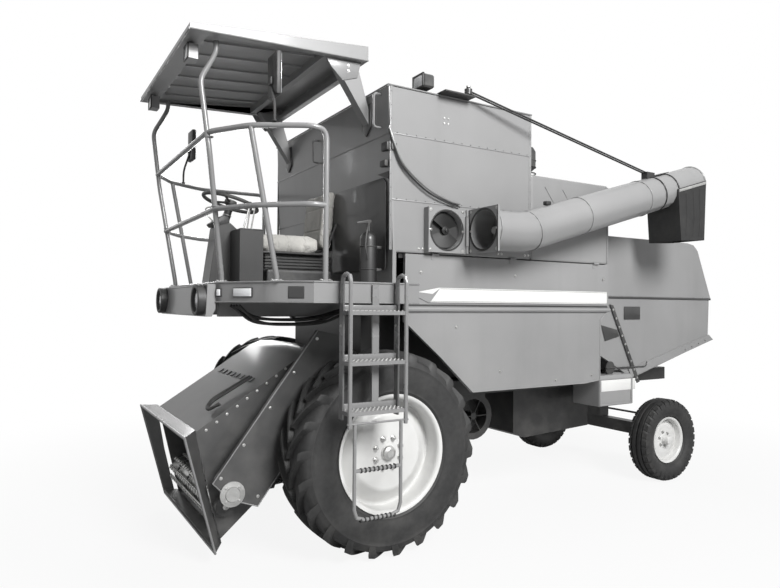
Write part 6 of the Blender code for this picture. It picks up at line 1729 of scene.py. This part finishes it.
@dataclass
class Feeder:
    """Louvres, cover bolts, hub disc, conveyor chains, mouth edges and hoses."""

    cover_face: float = 0.7904
    drum_x: float = 0.975
    mouth_half: float = 0.768
    mouth_top: Pair = (1.2780, 0.858)
    mouth_foot: Pair = (1.0730, 0.093)

    def point(self, along: float, out: float) -> tuple[float, float]:
        """A point by its distance down the feeder's slope and out from its roof, as (x, z)."""
        start, end = Vector((0.513, 1.302)), Vector((1.216, 0.819))
        way = (end - start).normalized()
        spot = start + way * along + Vector((-way.y, way.x)) * out
        return spot.x, spot.y

    def louvres(self) -> None:
        """Rows of pressed slots on the top sheet, dark as painted shade in their openings, and the bolted
        seams along its edges.
        """
        slots = Piece("feeder_louvre_shade")
        bolts = Piece("feeder_bolts")
        for row, along in enumerate((0.22, 0.50)):
            for index in range(8):
                y = -0.42 + index * 0.11 + row * 0.03
                x, z = self.point(along, -0.018)
                top, bottom = self.point(along + 0.045, -0.018), (x, z)
                slots.plate([bottom, top, (top[0] + 0.006, top[1] + 0.009),
                             (bottom[0] + 0.006, bottom[1] + 0.009)],
                            Axis.Y, y - 0.028, y + 0.028)
        # The slots are dark: painted shade in their openings.
        slots.finish(Finishes.PANEL_DARK, "feeder")
        for side in Side:
            for index in range(9):
                x, z = self.point(0.05 + index * 0.085, -0.030)
                hexagon(bolts, (x, side.value * 0.6006, z), Axis.Y, 0.0075, side.value * 0.006)
        bolts.finish(Finishes.STEEL, "feeder")

    def cover(self) -> None:
        """Bolts, folded edge and hub disc of the drive cover."""
        bolts = Piece("drive_cover_bolts")
        for x, z in ((0.38, 1.47), (0.55, 1.24), (0.72, 1.01), (0.90, 0.78), (1.05, 0.58), (0.30, 1.14),
                     (0.47, 0.90), (0.65, 0.64),
                     (0.80, 0.43)):
            hexagon(bolts, (x, self.cover_face, z), Axis.Y, 0.0085, 0.007)
        disc = [(0.0, 0.0), (0.078, 0.0), (0.083, 0.004), (0.083, 0.012), (0.050, 0.016),
                (0.046, 0.024), (0.0, 0.024)]
        bolts.turned(disc, (self.drum_x, self.cover_face, 0.470), Axis.Y, 40)
        for index in range(4):
            turn = (index + 0.5) * math.tau / 4
            hexagon(bolts, (self.drum_x + 0.062 * math.cos(turn), 0.7990, 0.470 + 0.062 * math.sin(turn)),
                    Axis.Y, 0.0095, 0.010)
        bolts.finish(Finishes.STEEL, "feeder")
        fold = Piece("drive_cover_fold")
        line = [(0.376, 1.526), (1.102, 0.552), (0.989, 0.434), (0.80, 0.363), (0.145, 1.242)]
        fold.pipe([(x, 0.7885, z) for x, z in line], 0.0055, 8)
        fold.finish(Finishes.TUBE, "feeder")

    def conveyor(self) -> None:
        """Two chains round the lower drum's rings with toothed slats between them."""
        slats = Piece("conveyor_slats")
        links = Piece("conveyor_chains")
        cx, cz, radius = self.drum_x, 0.352, 0.106
        for index in range(5):
            turn = math.radians(-62.0 + index * 38.0)
            spot = Vector((cx + (radius + 0.010) * math.cos(turn), 0.0,
                           cz + (radius + 0.010) * math.sin(turn)))
            place = Matrix.Translation(spot) @ Matrix.Rotation(-turn, 4, "Y")
            slats.block((-0.0100, -0.520, -0.0150), (0.0020, 0.520, 0.0150), 0.003, place)
            for tooth in range(17):
                y = -0.48 + tooth * 0.06
                slats.block((0.0020, y - 0.007, -0.012), (0.0120, y + 0.007, 0.012), 0.002, place)
        for index in range(24):
            turn = index * math.tau / 24
            spot = Vector((cx + radius * math.cos(turn), 0.0, cz + radius * math.sin(turn)))
            place = Matrix.Translation(spot) @ Matrix.Rotation(-turn, 4, "Y")
            for y in (-0.30, 0.0, 0.30):
                for shift in (-0.012, 0.007):
                    links.block((-0.0040, y + shift, -0.0125), (0.0060, y + shift + 0.005, 0.0125), 0.0015,
                                place)
        slats.finish(Finishes.STEEL, "drum")
        links.finish(Finishes.CHASSIS, "drum")

    def hoses(self) -> None:
        """Hydraulic hoses that loop beside the throat, and bundles under the platform."""
        loops = Piece("feeder_hose_loops")
        x, z = self.point(0.62, 0.012)
        loops.pipe(sagging([(x - 0.30, 0.40, z + 0.225), (x - 0.18, 0.36, z + 0.150),
                            (x - 0.06, 0.33, z + 0.075), (x, 0.38, z + 0.030),
                            (x + 0.015, 0.47, z + 0.020), (x - 0.05, 0.50, z + 0.060)]), 0.0110, 12)
        loops.pipe(sagging([(x - 0.30, 0.44, z + 0.225), (x - 0.15, 0.42, z + 0.135),
                            (x - 0.03, 0.40, z + 0.060), (x + 0.010, 0.46, z + 0.026),
                            (x - 0.04, 0.54, z + 0.058)]), 0.0090, 12)
        loops.finish(Finishes.HOSE, "feeder")
        under = Piece("platform_hose_bundle")
        for index, y in enumerate((0.52, 0.58, 0.64, 0.71)):
            drop = 1.600 - 0.030 * (index % 2)
            under.pipe(sagging([(0.92, y, 1.700), (0.78, y + 0.01, drop + 0.02), (0.55, y + 0.02, drop),
                                (0.30, y + 0.015, drop + 0.015), (0.08, y + 0.01, 1.670)]), 0.0105, 10)
        under.finish(Finishes.HOSE, "machine")

    def edges(self) -> None:
        """Rolled lips round the flared mouth."""
        lips = Piece("mouth_lips")
        (top_x, top_z), (foot_x, foot_z) = self.mouth_top, self.mouth_foot
        for side in Side:
            y = side.value * self.mouth_half
            lips.pipe([(top_x, y, top_z), (foot_x, y, foot_z)], 0.0075, 10)
        for x, z in (self.mouth_top, self.mouth_foot):
            lips.pipe([(x, -self.mouth_half, z), (x, self.mouth_half, z)], 0.0075, 10)
        lips.finish(Finishes.TUBE, "feeder")

    def build(self) -> None:
        """Makes everything on the feeder."""
        self.louvres()
        self.cover()
        self.conveyor()
        self.hoses()
        self.edges()


@dataclass
class FoldedSheets:
    """CAD nodes shown as copies with clean flats, smooth rounds and softened folds."""

    look: Finish
    body: str
    nodes: tuple[str, ...]
    fold: float = 0.0025
    flat: float = 0.6
    crisp: float = 34.0

    def copy(self, node: str) -> None:
        """Makes one node's copy, its flat triangles joined and its folds rounded.

        Args:
            node: The CAD node that the copy stands for.
        """
        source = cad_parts[node]
        shape = bmesh.new()
        shape.from_mesh(source.data)
        bmesh.ops.transform(shape, matrix=source.matrix_world, verts=shape.verts)
        bmesh.ops.remove_doubles(shape, verts=shape.verts, dist=WELD)
        bmesh.ops.dissolve_limit(shape, angle_limit=math.radians(self.flat), use_dissolve_boundaries=False,
                                 verts=shape.verts, edges=shape.edges)
        bmesh.ops.translate(shape, vec=-AXLE, verts=shape.verts)
        piece = Piece(f"{node}_sheet")
        piece.add(shape)
        sheet = piece.finish(self.look, self.body, (node,), self.crisp, self.fold)
        flats = sheet.modifiers.new("flats", "WEIGHTED_NORMAL")
        flats.keep_sharp = True
        flats.weight = 100

    def build(self) -> None:
        """Makes all the copies."""
        for node in self.nodes:
            self.copy(node)


def folded_sheets() -> list[FoldedSheets]:
    """The sheets and round casings by finish and body."""
    return [
        FoldedSheets(Finishes.BODY, "machine",
                     ("grain_tank", "engine_housing", "hood_upper", "hood_skirt", "platform", "front_bumper",
                      "canopy", "canopy_struts", "auger_outlet", "battery_box")),
        FoldedSheets(Finishes.CHASSIS, "machine",
                     ("separator_body", "front_axle", "rear_axle", "fan_housing", "sieve_box", "console",
                      "stay_bracket"), 0.0015),
        FoldedSheets(Finishes.TUBE, "machine", ("ladder", "ladder_strip"), 0.0012),
        FoldedSheets(Finishes.TUBE, "stirrup", ("ladder_step",), 0.0012),
        FoldedSheets(Finishes.BODY, "shield_left", ("side_shield_left",), 0.0012),
        FoldedSheets(Finishes.BODY, "shield_right", ("side_shield_right",), 0.0012),
        FoldedSheets(Finishes.BODY_SHADED, "feeder", ("feeder_house", "feeder_mouth", "feeder_shield")),
        FoldedSheets(Finishes.BODY, "unloading_auger", ("auger_tube",), 0.0012),
        FoldedSheets(Finishes.CHASSIS, "unloading_auger", ("auger_stays",), 0.0015),
        FoldedSheets(Finishes.BOOT, "unloading_auger", ("spout_boot",), 0.0015),
        FoldedSheets(Finishes.CHASSIS, "lift_barrels", ("lift_barrel_left", "lift_barrel_right"), 0.0010),
        FoldedSheets(Finishes.CHROME, "lift_rods", ("lift_rod_left", "lift_rod_right"), 0.0010),
        FoldedSheets(Finishes.STEEL, "drum", ("feeder_drum",), 0.0010),
        FoldedSheets(Finishes.PLASTIC, "machine", ("air_cleaner", "seat_base"), 0.0015),
        FoldedSheets(Finishes.STEEL, "machine", ("exhaust_pipe",), 0.0010),
    ]


def dress_frame() -> None:
    """Gives every CAD node whose shape stays its finish."""
    dress(Finishes.CHASSIS, "knuckle_left", "knuckle_right", "tie_rod")
    dress(Finishes.STEEL, "engine_block", "auger_screw")
    dress(Finishes.PLASTIC, "mirror_left", "mirror_right", "work_lamp")


@dataclass
class Studio:
    """Pale floor, soft lamps and the camera at the photograph's angle."""

    eye: Point = (2.25, 4.887, 1.707)
    yaw: float = math.radians(238.95654658)
    pitch: float = math.radians(1.04721756)
    roll: float = math.radians(0.44468287)
    lens: float = 29.311
    floor_glow: float = 0.90
    fade: Pair = (2.6, 6.5)
    floor_grey: float = 0.48
    sky: float = 0.09
    lamps: list[tuple[str, Point, Point, float, float]] = field(default_factory=lambda: [
        ("key", (-0.5, 8.9, 6.6), (-0.8, 0.0, 1.5), 4.0, 1560.0),
        ("fill", (8.0, 3.5, 3.5), (0.5, 0.0, 1.3), 5.0, 32.0),
        ("crown", (-1.0, 0.5, 8.5), (-1.0, 0.0, 0.0), 6.0, 170.0),
        ("far_side", (-2.5, -9.0, 5.0), (-1.0, 0.0, 1.5), 5.0, 620.0),
    ])

    def camera(self) -> None:
        """Stands the camera where the photograph was taken from."""
        ahead = Vector((math.cos(self.yaw) * math.cos(self.pitch), math.sin(self.yaw) * math.cos(self.pitch),
                        math.sin(self.pitch)))
        level = ahead.cross(Vector((0, 0, 1))).normalized()
        upright = level.cross(ahead)
        right = level * math.cos(self.roll) + upright * math.sin(self.roll)
        up = upright * math.cos(self.roll) - level * math.sin(self.roll)
        data = bpy.data.cameras.new("photo_camera")
        data.sensor_width = 36.0
        data.lens = self.lens
        camera = placed("photo_camera", data)
        turn = Matrix((right, up, -ahead)).transposed().to_4x4()
        camera.matrix_world = Matrix.Translation(Vector(self.eye) + AXLE) @ turn
        bpy.context.scene.camera = camera

    def light(self) -> None:
        """Hangs the soft lamps."""
        for name, place, target, size, power in self.lamps:
            data = bpy.data.lights.new(name, "AREA")
            data.shape = "DISK"
            data.size = size
            data.energy = power
            lamp = placed(name, data)
            spot = Vector(place) + AXLE
            way = (Vector(target) + AXLE - spot).to_track_quat("-Z", "Y").to_matrix().to_4x4()
            lamp.matrix_world = Matrix.Translation(spot) @ way

    def surroundings(self) -> None:
        """A white world for what the camera and gloss see, and a softer one for the light."""
        world = bpy.data.worlds.new("studio")
        bpy.context.scene.world = world
        world.use_nodes = True
        tree = world.node_tree
        soft = tree.nodes["Background"]
        soft.inputs["Color"].default_value = (0.93, 0.95, 1.0, 1.0)
        soft.inputs["Strength"].default_value = self.sky
        white = tree.nodes.new("ShaderNodeBackground")
        white.inputs["Color"].default_value = (1.0, 1.0, 1.0, 1.0)
        path = tree.nodes.new("ShaderNodeLightPath")
        seen = tree.nodes.new("ShaderNodeMath")
        seen.operation = "MAXIMUM"
        more = tree.nodes.new("ShaderNodeMath")
        more.operation = "MAXIMUM"
        mix = tree.nodes.new("ShaderNodeMixShader")
        for source, target in (
                (path.outputs["Is Camera Ray"], seen.inputs[0]),
                (path.outputs["Is Glossy Ray"], seen.inputs[1]),
                (seen.outputs["Value"], more.inputs[0]),
                (path.outputs["Is Transmission Ray"], more.inputs[1]),
                (more.outputs["Value"], mix.inputs["Fac"]),
                (soft.outputs["Background"], mix.inputs[1]),
                (white.outputs["Background"], mix.inputs[2]),
                (mix.outputs["Shader"], tree.nodes["World Output"].inputs["Surface"])):
            tree.links.new(source, target)

    def floor(self) -> None:
        """Lays the pale floor, which keeps the machine's shadow."""
        shape = bmesh.new()
        bmesh.ops.create_grid(shape, x_segments=1, y_segments=1, size=40.0)
        mesh = bpy.data.meshes.new("floor")
        shape.to_mesh(mesh)
        shape.free()
        floor = placed("floor", mesh)
        material = bpy.data.materials.new("floor_white")
        material.use_nodes = True
        shader = material.node_tree.nodes["Principled BSDF"]
        shader.inputs["Base Color"].default_value = (self.floor_grey, self.floor_grey, self.floor_grey, 1.0)
        shader.inputs["Roughness"].default_value = 0.9
        tree = material.node_tree
        glow = tree.nodes.new("ShaderNodeEmission")
        glow.inputs["Strength"].default_value = 1.0
        path = tree.nodes.new("ShaderNodeLightPath")
        share = tree.nodes.new("ShaderNodeMath")
        share.operation = "MULTIPLY"
        place = tree.nodes.new("ShaderNodeTexCoord")
        away = tree.nodes.new("ShaderNodeVectorMath")
        away.operation = "LENGTH"
        fade = tree.nodes.new("ShaderNodeMapRange")
        fade.interpolation_type = "SMOOTHSTEP"
        fade.inputs["From Min"].default_value, fade.inputs["From Max"].default_value = self.fade
        fade.inputs["To Min"].default_value = self.floor_glow
        tree.links.new(place.outputs["Object"], away.inputs[0])
        tree.links.new(away.outputs["Value"], fade.inputs["Value"])
        tree.links.new(fade.outputs["Result"], share.inputs[1])
        tree.links.new(path.outputs["Is Camera Ray"], share.inputs[0])
        mix = tree.nodes.new("ShaderNodeMixShader")
        tree.links.new(share.outputs["Value"], mix.inputs["Fac"])
        tree.links.new(shader.outputs["BSDF"], mix.inputs[1])
        tree.links.new(glow.outputs["Emission"], mix.inputs[2])
        tree.links.new(mix.outputs["Shader"], tree.nodes["Material Output"].inputs["Surface"])
        mesh.materials.append(material)
        floor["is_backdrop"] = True

    def build(self) -> None:
        """Sets the whole studio."""
        self.camera()
        self.light()
        self.surroundings()
        self.floor()
        bpy.context.scene.view_settings.view_transform = "Standard"


def corners() -> list[list[float]]:
    """The whole object's box as plain lists."""
    return [[float(value) for value in corner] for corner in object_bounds()]


def main() -> None:
    """Builds every assembly in order."""
    logging.basicConfig(level=logging.INFO, format="%(message)s")
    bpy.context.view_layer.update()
    Studio().build()
    dress_frame()
    for side in Side:
        for assembly in (FrontWheel(side), RearWheel(side)):
            assembly.build()
            LOG.info("built %s on the %s", type(assembly).__name__, side.word)
    for assembly in (Fascia(), DriversPlace(), Railing(), Roof(), Tank(), EngineTop(), SidePanel(Side.LEFT),
                     SidePanel(Side.RIGHT), Hood(), LadderDress(), Auger(), Feeder(), *folded_sheets()):
        assembly.build()
        LOG.info("built %s", type(assembly).__name__)


if __name__ == "__main__":
    main()
